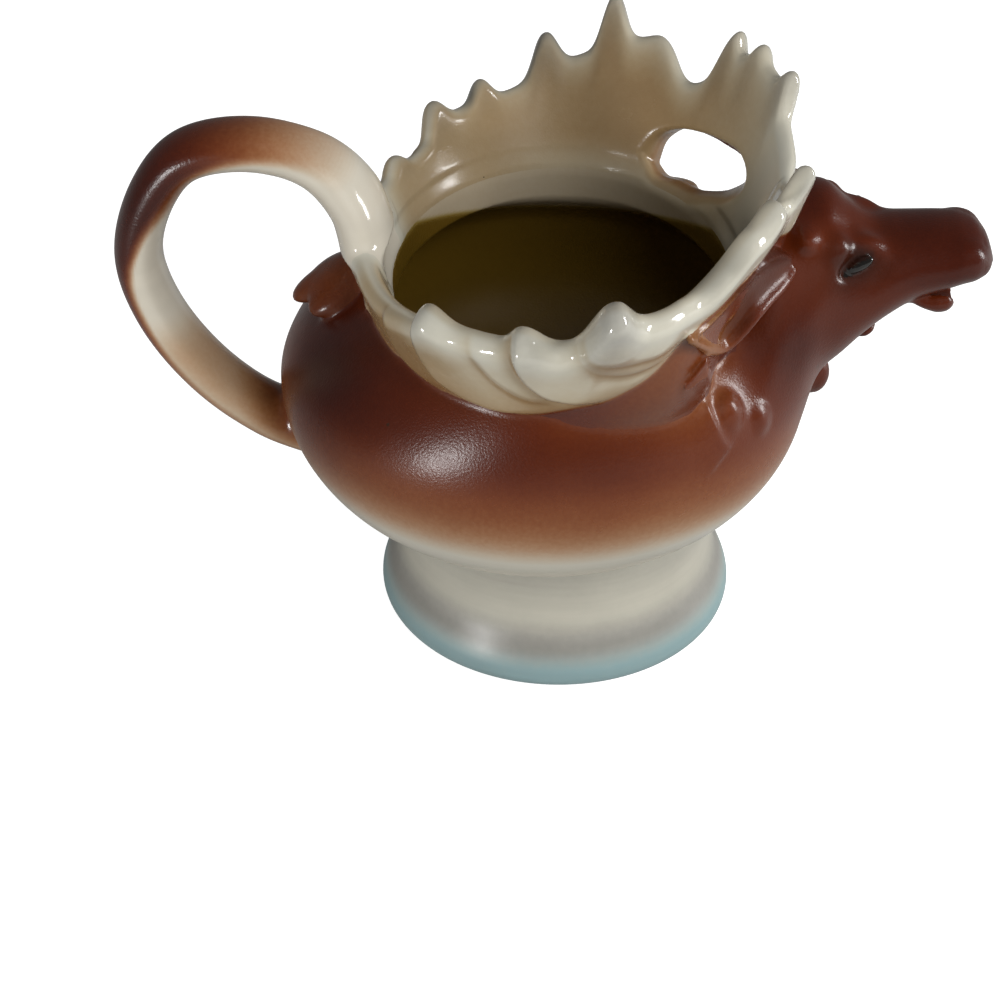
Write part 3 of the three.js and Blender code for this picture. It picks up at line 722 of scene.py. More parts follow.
@dataclass
class HeadSpout(CastPiece):
    """Neck, head and lower lip, with the pouring passage."""

    node: str = "head_spout"
    fillet: float = 5.0
    poll: float = 85.6
    nose: float = 72.7
    jaw: float = 58.0
    front: float = 43.5
    lip_tip: float = 66.9
    lip_z: float = 64.6

    def stations(self) -> list[tuple]:
        """Place, top, bottom, width and pear shape of each section, from the bowl to the nose."""
        f, n, p, j = self.front, self.nose, self.poll, self.jaw
        return [
            (f - 15, p - 5, 48, 46, 0.25),
            (f - 8.5, p - 1, 46, 44, 0.25),
            (f - 3.5, p, 47, 37, 0.22),
            (f + 0.5, p - 0.4, 51.5, 30.5, 0.12),
            (f + 4.5, p - 3.7, j - 2.6, 26, 0.1),
            (f + 8, p - 5.9, j + 1.4, 23, 0.08),
            (n - 17, p - 5.9, j + 5, 20.6, 0),
            (n - 13, p - 5.7, j + 7.8, 18.6, -0.02),
            (n - 9, p - 5.6, j + 9.6, 18, 0),
            (n - 5.5, p - 5.9, j + 11.2, 17.4, 0),
            (n - 2.6, p - 7.4, j + 12.2, 14.6, 0),
            (n - 0.9, p - 9.6, j + 13.6, 10.2, 0),
            (n - 0.1, p - 11.8, j + 15, 4.6, 0),
        ]

    def lower_lip(self) -> list[tuple]:
        """Sections of the lower lip, in the same order."""
        t, z = self.lip_tip, self.lip_z
        return [
            (t - 8.5, z + 4.2, z + 1.6, 11.6, 0),
            (t - 5, z + 4.2, z - 0.6, 12.4, 0),
            (t - 2.4, z + 4.8, z - 1.4, 12.4, 0),
            (t - 0.8, z + 4.6, z - 1, 10.8, 0),
            (t + 0.4, z + 3.2, z + 0.2, 6.8, 0),
        ]

    @staticmethod
    def rings(stations: list[tuple], count: int) -> Array:
        """Rings of a loft along X through pear-shaped sections.

        Args:
            stations: place, top, bottom, width and pear shape.
            count: number of rings.

        Returns:
            Array of rings.
        """
        x = np.linspace(stations[0][0], stations[-1][0], count)
        top, bottom, width, pear = through(stations, x).T[..., None]
        turn = circle(96)
        across = width / 2 * np.sin(turn) * (1 - pear * np.cos(turn))
        return weave(x[:, None], across, (top + bottom) / 2 + (top - bottom) / 2 * np.cos(turn))

    @staticmethod
    def bump(lattice: Lattice, side: Side, place: tuple, radii: tuple, axis: tuple, tilt: float) -> Field:
        """Round form on one side of the head.

        Args:
            lattice: lattice to work on.
            side: side of the head.
            place: middle of the form, on the left side.
            radii: half sizes along its axis, across it and outwards.
            axis: direction of the first half size, on the left side.
            tilt: how far it faces up.

        Returns:
            Its distance field.
        """
        mirror = np.array([1, side.value, 1])
        return lattice.ball(place * mirror, radii, axis * mirror, (0, side.value, tilt))

    def form(self, lattice: Lattice) -> Field:
        """Head with brows, cheeks, temples, nostrils, eyes and the lower lip."""
        f, p = self.front, self.poll
        bumps = [
            ((f + 1.8, 9.7, p - 6.4), (1.5, 1.5, 1.3), (1, -0.2, -0.1), 0.6, 3.4),
            ((f + 7.0, 7.0, p - 7.8), (1.9, 1.4, 1.0), (1, -0.2, -0.1), 0.5, 4.0),
            ((f - 3.6, 10.2, p - 4.6), (1.2, 1.3, 2.0), (0.2, 0, 1), 0.3, 3.4),
            ((self.nose - 5.0, 5.8, p - 9.4), (2.2, 1.6, 1.7), (1, 0, -0.2), 0.4, 2.2),
        ]
        parts = [(lattice.loft(self.rings(self.stations(), 110)), 0.0)]
        parts.append((lattice.loft(self.rings(self.lower_lip(), 50)), 0.9))
        for side in Side:
            parts += [(self.bump(lattice, side, *shape), fillet) for *shape, fillet in bumps]
        knot = lattice.ball((f + 9.1, 0.0, self.jaw + 0.1), (2.1, 2.6, 1.2), (1, 0, 0.5))
        head = lattice.union([*parts, (knot, 1.8)])
        eyes = []
        for side in Side:
            socket = self.bump(lattice, side, (f + 5.5, 11.6, p - 9.0), (3.4, 1.5, 1.0), (1, 0, 0.55), 0.3)
            head = lattice.cut(head, socket, 1.4)
            eye = self.bump(lattice, side, (f + 5.5, 10.2, p - 9.2), (2.7, 1.15, 1.2), (1, 0, 0.6), 0.3)
            eyes.append((eye, 0.4))
        return lattice.union([(head, 0.0), *eyes])

    def passage(self) -> Array:
        """Rings of the pouring passage from the bowl to the lips."""
        f = self.front
        bends = [(f - 13.0, 0, 57.5), (f, 0, 62.0), (f + 10.4, 0, 67.5), (self.nose + 4.0, 0, 67.5)]
        x, _, z = path_through(bends, 40).T[..., None]
        narrow = smoothstep(x, f - 13, f + 13.4)
        half = mix(11.0, 5.8, narrow) / 2
        wide = mix(20.0, 9.4, narrow) / 2
        turn = circle(48)
        return weave(x, wide * np.sin(turn), z + half * np.cos(turn))


@dataclass
class Ear(CastPiece):
    """Scooped ear that lies along the outer face of an antler.

    Its edges are laid out on the collar, in degrees, millimetres above the crease and millimetres out.
    """

    fillet: float = 3.4
    side: Side = Side.LEFT
    hollow: float = 1.7
    rim: float = 0.7
    bed: float = 1.0
    upper: tuple = (
        (26.5, 16.4, 5.4), (33, 18.6, 4), (41.5, 20.2, 3.2), (47.5, 19, 3), (51.5, 16.6, 3),
        (55.5, 15.2, 3.2),
        (60, 14.6, 3.8), (64.8, 15.6, 4.2),
    )
    lower: tuple = (
        (26.2, 14.5, 6.4), (29, 13.4, 6.4), (32.5, 12.8, 6.2), (36.5, 12.2, 5.9), (42.2, 11, 5.8),
        (44.8, 9.4, 5.7), (47.2, 8, 5.5), (50, 7.2, 5.2), (55.5, 9, 4.8), (61, 12.6, 4.5),
        (64.8, 15.4, 4.3),
    )

    def form(self, lattice: Lattice) -> Field:
        """Leaf with a dished face and a thin raised rim along its lower edge."""
        spread = np.array([ARC, 1.0, 1.0])
        high, low = (path_through(np.array(edge) * spread, 60) / spread for edge in (self.upper, self.lower))
        across = np.linspace(0, 1, 24)[:, None]
        face = high[:, None] + (low - high)[:, None] * across
        dish = np.sin(np.pi * np.clip(np.linspace(0, 1, 60), 0.02, 0.98)) ** 0.6
        face[..., 2] -= self.hollow * dish[:, None] * np.sin(np.pi * across[:, 0])
        back = face[:, ::-1].copy()
        back[..., 2] = self.bed
        ring = np.concatenate([face, back], axis=1)
        leaf = lattice.loft(COLLAR.point(*np.moveaxis(ring, -1, 0), self.side))
        radii = self.rim * np.sin(np.linspace(0.2, 2.95, 60)) ** 0.5
        bead = Shell.sweep(COLLAR.point(*low.T, self.side), radii)
        return lattice.union([(leaf, 0.0), (lattice.field(bead), 1.4)])


def left_ear() -> Ear:
    """Left ear, slimmer than the right one, so that it stays clear of the pierced opening."""
    return Ear(
        node="ear_left",
        hollow=2.4,
        bed=1.5,
        upper=(
            (12, 18, 3.4), (22, 17.5, 4.6), (32, 17, 4.8), (45, 15.6, 4.8), (56, 13.8, 4.7),
            (63.5, 12.4, 4.6),
        ),
        lower=(
            (15, 13.8, 3.4), (20, 13.2, 5.6), (25, 12.8, 6.7), (30, 12.4, 7), (37, 11.9, 6.9),
            (44, 11.5, 6.7),
            (50, 11.2, 6.5), (55, 11, 6.2), (59.5, 11.2, 5.6), (63.5, 12.2, 4.7),
        ),
    )


@dataclass
class NeckRuff(CastPiece):
    """Locks of hair where the neck runs into the bowl: a thin ridge and two round locks.

    The ridge starts on the collar and runs down the bowl, and the locks lie on the bowl with their sizes.
    """

    fillet: float = 1.3
    side: Side = Side.LEFT
    ridge: float = 1.5
    lock: float = 2.7
    on_collar: tuple = ((58.5, 9, 5.8), (55, 2.6, 5.8), (51, -2.4, 5.4))
    on_bowl: tuple = ((50.8, 63), (51, 60.1), (49.8, 57), (48.4, 55.4))
    locks: tuple = ((45.4, 59.8, 1.0), (36.4, 56.2, 0.8))
    profile: tuple = (
        (5, -0.9), (3, 0.15), (1.3, 0.7), (0.35, 1), (-0.3, 0.8), (-0.7, 0), (-0.9, -0.9), (0.5, -2.2),
        (3.5, -2.2), (5, -0.9),
    )

    def form(self, lattice: Lattice) -> Field:
        """Ridge that slopes off behind and drops in front, and the locks before it."""
        points = [COLLAR.point(*place, self.side) for place in self.on_collar]
        line = path_through(points + [BOWL.point(*place, self.side) for place in self.on_bowl], 48)
        normal = unit(line - np.array([-1.0, 0.0, 46.0]))
        back = self.side.value * unit(np.cross(normal, unit(np.gradient(line, axis=0))))
        section = path_through([(b, u, 0.0) for b, u in self.profile], 41)[:-1]
        swell = self.ridge * np.sin(np.linspace(0.25, 2.95, 48)) ** 0.7
        rise = np.where(section[:, 1] > 0, section[:, 1] * swell[:, None], section[:, 1])
        rings = line[:, None] + section[:, :1] * back[:, None] + rise[..., None] * normal[:, None]
        parts = [(lattice.loft(rings), 0.0)]
        for angle, z, size in self.locks:
            turn = math.radians(angle)
            facing = (math.cos(turn), self.side.value * math.sin(turn), 0.35)
            radii = self.lock * size * np.array([1.4, 1.15, 1.0])
            centre = BOWL.point(angle, z, self.side, -1.4)
            parts.append((lattice.ball(centre, radii, (-0.25, 0.1 * self.side.value, 1), facing), 2.4))
        return lattice.union(parts)


@dataclass
class Handle(CastPiece):
    """Loop handle that spreads into a saddle on the rim.

    Its lists are shares of the way from the bowl back and up, and of the way from the rim back and down.
    """

    node: str = "handle"
    slot: str = "cream_glaze"
    fillet: float = 3.6
    thickness: float = 8.2
    width: float = 12.6
    back: float = -73.1
    bowl_back: float = -49.3
    crown: float = 90.5
    root: float = 35.0
    saddle: float = 74.0
    rim_back: float = -33.4
    seat_height: float = 5.0
    seat_depth: float = 4.3
    loop: tuple = (
        (-0.3, -0.03), (0.14, 0.04), (0.56, 0.19), (0.89, 0.41), (1, 0.62), (0.85, 0.83),
        (0.6, 0.957), (0.14, 1),
    )
    to_rim: tuple = ((0.51, 0.18), (0.13, 0.58), (0, 1))

    def line(self, count: int) -> Array:
        """Middle line from the root on the bowl, up and over to the rim.

        Args:
            count: number of points.

        Returns:
            Points spaced evenly along the line.
        """
        points = []
        for start, end, shares in (
            ((self.bowl_back, 0.0, self.root), (self.back, 0.0, self.crown), self.loop),
            ((self.rim_back, 0.0, self.crown), (self.bowl_back, 0.0, self.saddle), self.to_rim),
        ):
            points += [mix(np.array(start), np.array(end), np.array([x, 0.0, z])) for x, z in shares]
        return path_through(points, count)

    def form(self, lattice: Lattice) -> Field:
        """Oval loop and its saddle."""
        line = self.line(160)
        tangent = unit(np.gradient(line, axis=0))
        across = np.stack([-tangent[:, 2], 0 * tangent[:, 0], tangent[:, 0]], -1)
        share = np.linspace(0, 1, len(line))
        flare = smoothstep(share, 0.8, 1.0)
        root = smoothstep(share, 0.14, 0.0)
        thick = self.thickness / 2 + 0.6 * flare + 0.5 * root
        wide = self.width / 2 + 3.4 * flare + 0.6 * root
        turn = circle(64)
        rings = line[:, None] + (thick[:, None] * np.cos(turn))[..., None] * across[:, None]
        rings[..., 1] += wide[:, None] * np.sin(turn)
        return lattice.union([(lattice.loft(rings), 0.0), (lattice.loft(self.seat()), 4.0)])

    def seat(self) -> Array:
        """Rings of the stretch of the collar behind the mouth that carries the handle."""
        arc = np.linspace(0, np.pi, 13)
        half = self.seat_depth / 2
        level = np.concatenate([[-2.5], self.seat_height + 2.0 * np.sin(arc), [-2.5]])
        depth = np.concatenate([[0.0], half - half * np.cos(arc), [self.seat_depth]])
        return COLLAR.around(np.linspace(160.0, 200.0, 60)[:, None], level, depth)


@dataclass
class HandleLeaf(CastPiece):
    """Leaf of three lobes under the handle's upper root."""

    node: str = "handle_leaf"
    fillet: float = 1.8
    length: float = 16.0
    width: float = 8.6
    thickness: float = 4.6
    fan: float = 36.0
    droop: float = 0.62
    root: tuple = (-33.2, 0.0, 69.3)

    def form(self, lattice: Lattice) -> Field:
        """Three lobes that fan out from the rim."""
        parts = []
        for lobe in (-1, 0, 1):
            turn = math.radians(180 - self.fan * lobe)
            axis = unit(np.array([math.cos(turn), math.sin(turn), -self.droop]))
            length = self.length - 2.0 * abs(lobe)
            radii = (length / 2, self.width / 2, self.thickness / 2)
            facing = (math.cos(turn) / 2, math.sin(turn) / 2, 1.0)
            parts.append((lattice.ball(np.array(self.root) + axis * length / 2, radii, axis, facing), 1.4))
        return lattice.union(parts)


@dataclass
class ThroatBell(CastPiece):
    """Tuft of hair that hangs at the throat."""

    node: str = "throat_bell"
    fillet: float = 1.6
    centre: tuple = (44.7, 0.0, 48.3)
    radii: tuple = (2.9, 2.8, 4.0)

    def form(self, lattice: Lattice) -> Field:
        """Drop-shaped tuft."""
        return lattice.ball(self.centre, self.radii)


def relax(points: Array, quads: Array) -> Array:
    """Points moved half way to the mean of their neighbours.

    Args:
        points: places of the corners.
        quads: corners of each face.

    Returns:
        The new places.
    """
    total = np.zeros_like(points)
    count = np.zeros(len(points))
    for a, b in ((0, 1), (1, 2), (2, 3), (3, 0)):
        for here, there in ((a, b), (b, a)):
            np.add.at(total, quads[:, here], points[quads[:, there]])
            np.add.at(count, quads[:, here], 1)
    return 0.5 * points + 0.5 * total / count[:, None]


@dataclass
class Jug:
    """All the pieces luted together, and cut apart again into closed meshes."""

    lattice: Lattice
    pieces: list
    forms: dict = field(default_factory=dict)
    overlap: float = 0.3
    sink: float = 0.05
    trim: float = 0.6
    hole_trim: float = 0.8
    mouth_round: float = 1.6
    spout_round: float = 0.8

    def lute(self) -> None:
        """Join every piece into one body with soft fillets, and hollow it."""
        lattice = self.lattice
        inside = lattice.loft(COLLAR.room(1.5, -3.0, 36.0))
        holes = {}
        for piece in self.pieces:
            form = piece.form(lattice)
            if isinstance(piece, Antler):
                holes[piece.side] = piece.hole
            if isinstance(piece, (HeadSpout, Ear, HandleLeaf, NeckRuff)):
                form = lattice.cut(form, inside, self.trim)
            if isinstance(piece, NeckRuff):
                form = lattice.cut(form, holes[piece.side], self.hole_trim)
            self.forms[piece.node] = form
        order = sorted(self.pieces, key=lambda piece: (piece is not BOWL, -piece.fillet))
        body = lattice.union([(self.forms[piece.node], piece.fillet) for piece in order])
        body = lattice.cut(body, BOWL.room(lattice, self.forms[BOWL.node]), self.mouth_round)
        head = next(piece for piece in self.pieces if isinstance(piece, HeadSpout))
        self.body = lattice.cut(body, lattice.loft(head.passage()), self.spout_round)

    def border(self, high: Field, low: Field, window: Field) -> Array:
        """Border of a pair of pieces.

        Args:
            high: piece that comes first where both reach.
            low: piece that gives way to it.
            window: field whose window is used.

        Returns:
            Values that are negative on the side of the lower piece.
        """
        a, b = (f.on(window.corner, window.values.shape, self.lattice.band) for f in (high, low))
        return np.maximum(b, 0.0) - a

    def part(self, piece: CastPiece) -> Field:
        """Share of the body that belongs to one piece.

        Args:
            piece: the piece to cut out.

        Returns:
            Field of the closed piece.
        """
        own = self.forms[piece.node]
        rank = self.pieces.index(piece)
        region = np.full(own.values.shape, -self.lattice.band, np.float32)
        shade = region.copy()
        for other in self.pieces[:rank]:
            shade = np.maximum(shade, self.border(self.forms[other.node], own, own))
        for other in self.pieces[rank + 1 :]:
            region = np.maximum(region, -self.border(own, self.forms[other.node], own))
        region = np.maximum(region, shade)
        skin = self.body.on(own.corner, own.values.shape, self.lattice.band)
        skin = skin + self.sink * smoothstep(shade, -2 * self.overlap, 0.0).astype(np.float32)
        return Field(own.corner, np.maximum(skin, region - self.overlap))

    def surface(self, piece: CastPiece) -> tuple[Array, Array]:
        """Even, closed surface of one piece.

        Args:
            piece: the piece to build.

        Returns:
            Points in millimetres and quads.
        """
        source = self.part(piece)
        points, quads = self.lattice.skin(source)
        limit = 0.6 * self.lattice.voxel
        for _ in range(2):
            points = relax(points, quads)
            slope = self.lattice.slope(source, points)
            steep = np.maximum((slope**2).sum(1), 0.25)
            step = (self.lattice.read(source, points) / steep)[:, None] * slope
            points -= np.clip(step, -limit, limit)
        return points, quads

    def mesh(self, piece: CastPiece, offset: Vector) -> bpy.types.Object:
        """Closed, smooth mesh of one piece, with its coats.

        Args:
            piece: the piece to build.
            offset: place of the jug's own origin in the row frame, in metres.

        Returns:
            The new object, in place.
        """
        points, quads = self.surface(piece)
        normals = unit(self.lattice.slope(self.body, points))
        mesh = bpy.data.meshes.new(piece.node + "_glazed")
        mesh.vertices.add(len(points))
        mesh.vertices.foreach_set("co", (points * MM + np.array(offset)).ravel().astype(np.float32))
        mesh.loops.add(quads.size)
        mesh.loops.foreach_set("vertex_index", quads.ravel().astype(np.int32))
        mesh.polygons.add(len(quads))
        mesh.polygons.foreach_set("loop_start", np.arange(0, quads.size, 4, dtype=np.int32))
        mesh.polygons.foreach_set("use_smooth", np.ones(len(quads), bool))
        mesh.update()
        mesh.validate()
        for coat, density in Airbrush(self).spray(piece, points, normals).items():
            layer = mesh.attributes.new(coat.value, "FLOAT", "POINT")
            layer.data.foreach_set("value", np.clip(density, 0.0, 1.0).astype(np.float32))
        mesh.normals_split_custom_set_from_vertices(normals.tolist())
        thing = bpy.data.objects.new(piece.node + "_glazed", mesh)
        bpy.context.scene.collection.objects.link(thing)
        return thing


class Coat(Enum):
    """Airbrushed coats and the painted shade, as the names of the density attributes."""

    BROWN = "brown"
    UMBER = "umber"
    TAN = "tan"
    # Painted shade inside the bowl and in the ear hollows.
    OLIVE = "olive"
    BLUE = "blue"
    GREY = "grey"
    INK = "ink"


@dataclass
class Airbrush:
    """Spray plan of the jug: the density of each coat at a point of the surface."""

    jug: Jug
    fade: tuple = (
        (20, 0), (37.5, 0), (40, 0.1), (43, 0.3), (46, 0.48), (48.5, 0.62), (51, 0.72), (53, 0.82),
        (56, 0.95),
        (59, 1), (110, 1),
    )
    handle_cover: tuple = (
        (0, 0.2, 0.3), (0.12, 0.2, 0.3), (0.25, 0.35, 0.5), (0.35, 0.4, 0.9), (0.43, 0.3, 1),
        (0.5, -0.25, 1),
        (0.58, -0.75, 1), (0.65, -0.7, 0.95), (0.74, -0.2, 0.6), (0.82, 0.2, 0.25), (0.9, 0.5, 0),
        (1, 0.5, 0),
    )
    eye_x: float = 49.5
    loop_middle: tuple = (-52.0, 0.0, 62.0)

    def near(self, node: str, points: Array) -> Array:
        """Distance from points to one piece."""
        return self.jug.lattice.read(self.jug.forms[node], points)

    @staticmethod
    def spot(points: Array, place: tuple, width: float) -> Array:
        """Soft round spot on both sides of the jug, at a place given on the left side."""
        x, y, z = points.T
        return bell(np.hypot(np.hypot(x - place[0], np.abs(y) - place[1]), z - place[2]), width)

    def ink(self, points: Array) -> Array:
        """Black of the eyes, with a soft halo.

        Args:
            points: surface points in millimetres.

        Returns:
            Density of the coat.
        """
        x, y, z = points.T
        along = x - self.eye_x
        halo = 0.75 * bell(np.hypot(0.8 * along, z - 77.3 - 0.25 * along), 4.2)
        slit = np.hypot((along + 0.5) / 2.7, (z - 76.6 - 0.6 * along) / 1.1)
        return np.maximum(halo, smoothstep(slit, 1.15, 0.85)) * smoothstep(np.abs(y), 7.5, 9.5)

    def body(self, points: Array) -> dict[Coat, Array]:
        """Coats on the bowl, head, ruffs, leaf and bell, with painted shade inside the bowl and under the
        jaw.

        Args:
            points: surface points in millimetres.

        Returns:
            Density of each coat.
        """
        x, y, z = points.T
        front = smoothstep(x, 20, 42)
        groove = np.minimum(self.near("antler_left", points), self.near("antler_right", points))
        brown = through(self.fade, z + 3.0 * front + 9.0 * smoothstep(x, 40, 45))[:, 0]
        brown = brown * (1 - 0.22 * np.exp(-np.clip(groove, 0, None) / 2.4) * (1 - front))
        brown = brown * (1 - 0.38 * self.spot(points, (23.0, 31.0, 67.0), 9.0))
        flank = self.spot(points, (-39.0, 19.0, 57.0), 15.0)
        # Painted shade: umber in the hollow of the neck under the ears and jaw.
        throat = self.spot(points, (38.0, 18.5, 65.0), 7.0)
        band = bell(z - 59.0, 5.0) * smoothstep(x, 26, 8)
        muzzle = smoothstep(x, 52, 60) * smoothstep(z, 70, 73)
        poll = bell(np.hypot(x - 40.5, z - 86.0), 5.0) * smoothstep(z, 81, 84)
        umber = 0.75 * flank + 0.18 * band + 0.25 * muzzle + 0.6 * throat
        umber = umber + 0.22 * smoothstep(x, 42, 48) + 0.5 * poll
        # Inside the bowl: light tan over all of it as painted shade, and dark olive painted shadow below a
        # line on the inner wall that is lowest at the far side, where the near rim shades the wall.
        mouth = smoothstep(np.hypot(x / 29.0, y / 37.4), 1.06, 1.02) * (z > 50) * (x < 30)
        inside = np.maximum(smoothstep(-self.near("bowl", points), 0.8, 2.2), mouth)
        shadow_line = np.minimum(58.7 + 0.39 * (37.4 - np.abs(y)), 67.0)
        return {
            Coat.BROWN: brown * (1 - inside),
            Coat.UMBER: np.clip(umber, 0, 1) * (1 - inside),
            Coat.OLIVE: inside * smoothstep(z - shadow_line, 0.8, -0.8),
            Coat.TAN: 0.25 * inside,
            Coat.INK: self.ink(points) * (1 - inside),
        }

    def antler(self, piece: Antler, points: Array) -> dict[Coat, Array]:
        """Coats on an antler: tan in the palm, brown on the outer front below the rolled edge, and painted
        shade in the creases and on the tine knobs.

        Args:
            piece: the antler.
            points: surface points in millimetres.

        Returns:
            Density of each coat.
        """
        angle, height, depth = COLLAR.locate(points)
        share = height / piece.height(angle)
        outer = smoothstep(depth + piece.bend(angle, share), 1.4, 2.6)
        below = through(piece.hem, angle)[:, 0] - height
        funnel = smoothstep(self.jug.lattice.read(piece.hole, points), 1.4, 0.2)
        brown = outer * smoothstep(below, -0.7, 0.5) * smoothstep(angle, 104, 92) * (1 - 0.8 * funnel)
        brown = brown * (1 - 0.35 * bell(angle - 68, 16))
        pink = outer * 0.18 * np.exp(-np.clip(self.near("bowl", points), 0, None) / 1.8)
        palm = bell(angle - 72, 34) * smoothstep(share, 1.0, 0.62) * smoothstep(height, -1.0, 6.0)
        # Tan at the feet of the folds is painted shade in the creases.
        _, crease = piece.fold(angle, height)
        fold = 0.45 * smoothstep(height, 12, 0) + 0.6 * crease + 0.15 * smoothstep(share, 0.95, 0.7)
        fold = fold + 0.4 * smoothstep(angle, 100, 122) * smoothstep(share, 1.0, 0.6)
        fold = fold + 0.3 * smoothstep(angle, 118, 130)
        dull = 0.3 * smoothstep(angle, 12, 40) + 0.2 * smoothstep(angle, 92, 112) + 0.5 * palm
        tan = (1 - outer) * dull * smoothstep(share, 1.1, 0.85) + outer * np.clip(fold, 0, 0.85)
        tan = np.maximum(tan, 0.6 * funnel) * smoothstep(angle, COLLAR.back, 148)
        # Grey over the tine knobs is painted shade that darkens these up-facing rounds.
        grey = 0.5 * np.clip(piece.tine_share(angle), 0, 1) * smoothstep(share, 0.5, 0.85)
        return {Coat.BROWN: np.maximum(brown, pink), Coat.TAN: tan, Coat.GREY: grey}

    def handle(self, piece: Handle, points: Array, normals: Array) -> dict[Coat, Array]:
        """Coats on the handle: brown along the back of the loop, cream inside and at both ends, with painted
        shade at the roots.

        Args:
            piece: the handle.
            points: surface points in millimetres.
            normals: direction of the surface at each point.

        Returns:
            Density of each coat.
        """
        line = piece.line(200)
        x, z = points[:, 0], points[:, 2]
        nearest = np.hypot(x[:, None] - line[:, 0], z[:, None] - line[:, 2]).argmin(1)
        share = nearest / (len(line) - 1.0)
        outward = unit((points - np.array(self.loop_middle)) * np.array([1.0, 0.0, 1.0]))
        turned = (normals * outward).sum(1)
        reach, strength = through(self.handle_cover, share).T
        brown = strength * smoothstep(turned - reach, -0.35, 0.55)
        # Brown and tan near the roots: partly the brown coat, partly painted shade where the handle meets the
        # bowl, more on the side that faces into the loop.
        root = np.exp(-np.clip(self.near("bowl", points), 0, None) / 5.5) * smoothstep(z, 60, 50)
        upper = smoothstep(-turned, -0.5, 0.5)
        return {
            Coat.BROWN: np.maximum(brown, root * (0.35 + 0.4 * upper)),
            Coat.UMBER: 0.9 * brown * bell(share - 0.55, 0.16),
            Coat.TAN: root * (0.25 + 0.45 * upper),
        }

    def foot(self, points: Array) -> dict[Coat, Array]:
        """Coats on the foot: a blue lip under a grey shade."""
        z = points[:, 2]
        skirt = smoothstep(np.hypot(points[:, 0], points[:, 1]), 25.5, 27)
        grey = 0.75 * bell(z - 8.2, 3.2) + 0.22 * smoothstep(z, 8, 26)
        return {Coat.BLUE: smoothstep(z, 8.2, 3.8) * skirt, Coat.GREY: grey * skirt}

    def spray(self, piece: CastPiece, points: Array, normals: Array) -> dict[Coat, Array]:
        """Density of each coat on a piece.

        Args:
            piece: the piece to spray.
            points: surface points in millimetres.
            normals: direction of the surface at each point.

        Returns:
            Density of each coat.
        """
        if isinstance(piece, Antler):
            return self.antler(piece, points)
        if isinstance(piece, Handle):
            return self.handle(piece, points, normals)
        if isinstance(piece, PedestalFoot):
            return self.foot(points)
        coats = self.body(points)
        if isinstance(piece, HandleLeaf):
            coats[Coat.BROWN] = 0.68 * coats[Coat.BROWN]
        if isinstance(piece, Ear):
            # Ears: lighter brown towards the tip, tan in the hollow, and dark olive painted shade in the
            # middle of the hollow under the antler's overhang.
            angle, height, _ = COLLAR.locate(points)
            rim = through([knot[:2] for knot in piece.lower[:-1]], angle)[:, 0]
            hollow = smoothstep(height - rim, 0.3, 2.0)
            tip = smoothstep(angle, 46, 58)
            coats[Coat.TAN] = 0.4 * hollow
            coats[Coat.BROWN] = coats[Coat.BROWN] * (1 - 0.45 * tip - 0.2 * hollow)
            coats[Coat.OLIVE] = 0.4 * hollow * bell(angle - 40, 12)
        return coats


class Wiring:
    """Small helper that adds nodes to a tree and joins them."""

    def __init__(self, tree: bpy.types.NodeTree) -> None:
        """Keep the tree."""
        self.tree = tree

    def add(self, kind: str, inputs: dict | None = None, **settings: object) -> bpy.types.Node:
        """New node.

        Args:
            kind: type of the node.
            inputs: value of each input, by name or place: a socket is joined, anything else is a constant.
            settings: other properties of the node.

        Returns:
            The node.
        """
        node = self.tree.nodes.new(kind)
        for key, value in settings.items():
            setattr(node, key, value)
        return self.feed(node, inputs or {})

    def feed(self, node: bpy.types.Node, inputs: dict) -> bpy.types.Node:
        """Give a node its inputs, as add() does."""
        for key, value in inputs.items():
            if isinstance(value, Socket):
                self.tree.links.new(value, node.inputs[key])
            else:
                node.inputs[key].default_value = value
        return node

    def group(self, inner: bpy.types.NodeTree, inputs: dict) -> bpy.types.NodeOutputs:
        """Outputs of a node group placed in the tree."""
        return self.add("ShaderNodeGroup", inputs, node_tree=inner).outputs

    def math(self, operation: str, *values: object, clamp: bool = False) -> Socket:
        """Arithmetic on sockets and numbers, kept between 0 and 1 if clamped."""
        inputs = dict(enumerate(values))
        return self.add("ShaderNodeMath", inputs, operation=operation, use_clamp=clamp).outputs[0]

    def blend(self, share: object, first: object, second: object, mode: str = "MIX") -> Socket:
        """Blend of the colour below with the one above, each a socket or a constant."""
        inputs = {0: share, 6: first, 7: second}
        return self.add("ShaderNodeMix", inputs, data_type="RGBA", blend_type=mode).outputs[2]

    def noise(self, scale: object, detail: float, stretch: tuple = ()) -> Socket:
        """Noise over the object's own coordinates.

        Args:
            scale: socket or number of cells to the metre.
            detail: number of octaves.
            stretch: scale along each axis, if it isn't even.

        Returns:
            The noise's value.
        """
        place = self.add("ShaderNodeTexCoord").outputs["Object"]
        if stretch:
            place = self.add("ShaderNodeMapping", {"Vector": place, "Scale": stretch}).outputs["Vector"]
        inputs = {"Vector": place, "Scale": scale, "Detail": detail}
        return self.add("ShaderNodeTexNoise", inputs).outputs["Fac"]

    def swing(self, first: Socket, second: Socket) -> Socket:
        """Sum of two noises, each about zero."""
        return self.math("ADD", self.math("SUBTRACT", first, 0.5), self.math("SUBTRACT", second, 0.5))


def new_group(name: str, takes: dict, gives: dict) -> tuple[Wiring, bpy.types.NodeOutputs, bpy.types.Node]:
    """Empty node group.

    Args:
        name: name of the group.
        takes: kind of each input socket.
        gives: kind of each output socket.

    Returns:
        The group's wiring helper, what it is given, and the node that takes its results.
    """
    tree = bpy.data.node_groups.new(name, "ShaderNodeTree")
    for sockets, way in ((takes, "INPUT"), (gives, "OUTPUT")):
        for label, kind in sockets.items():
            tree.interface.new_socket(label, in_out=way, socket_type=kind)
    wheel = Wiring(tree)
    return wheel, wheel.add("NodeGroupInput").outputs, wheel.add("NodeGroupOutput")


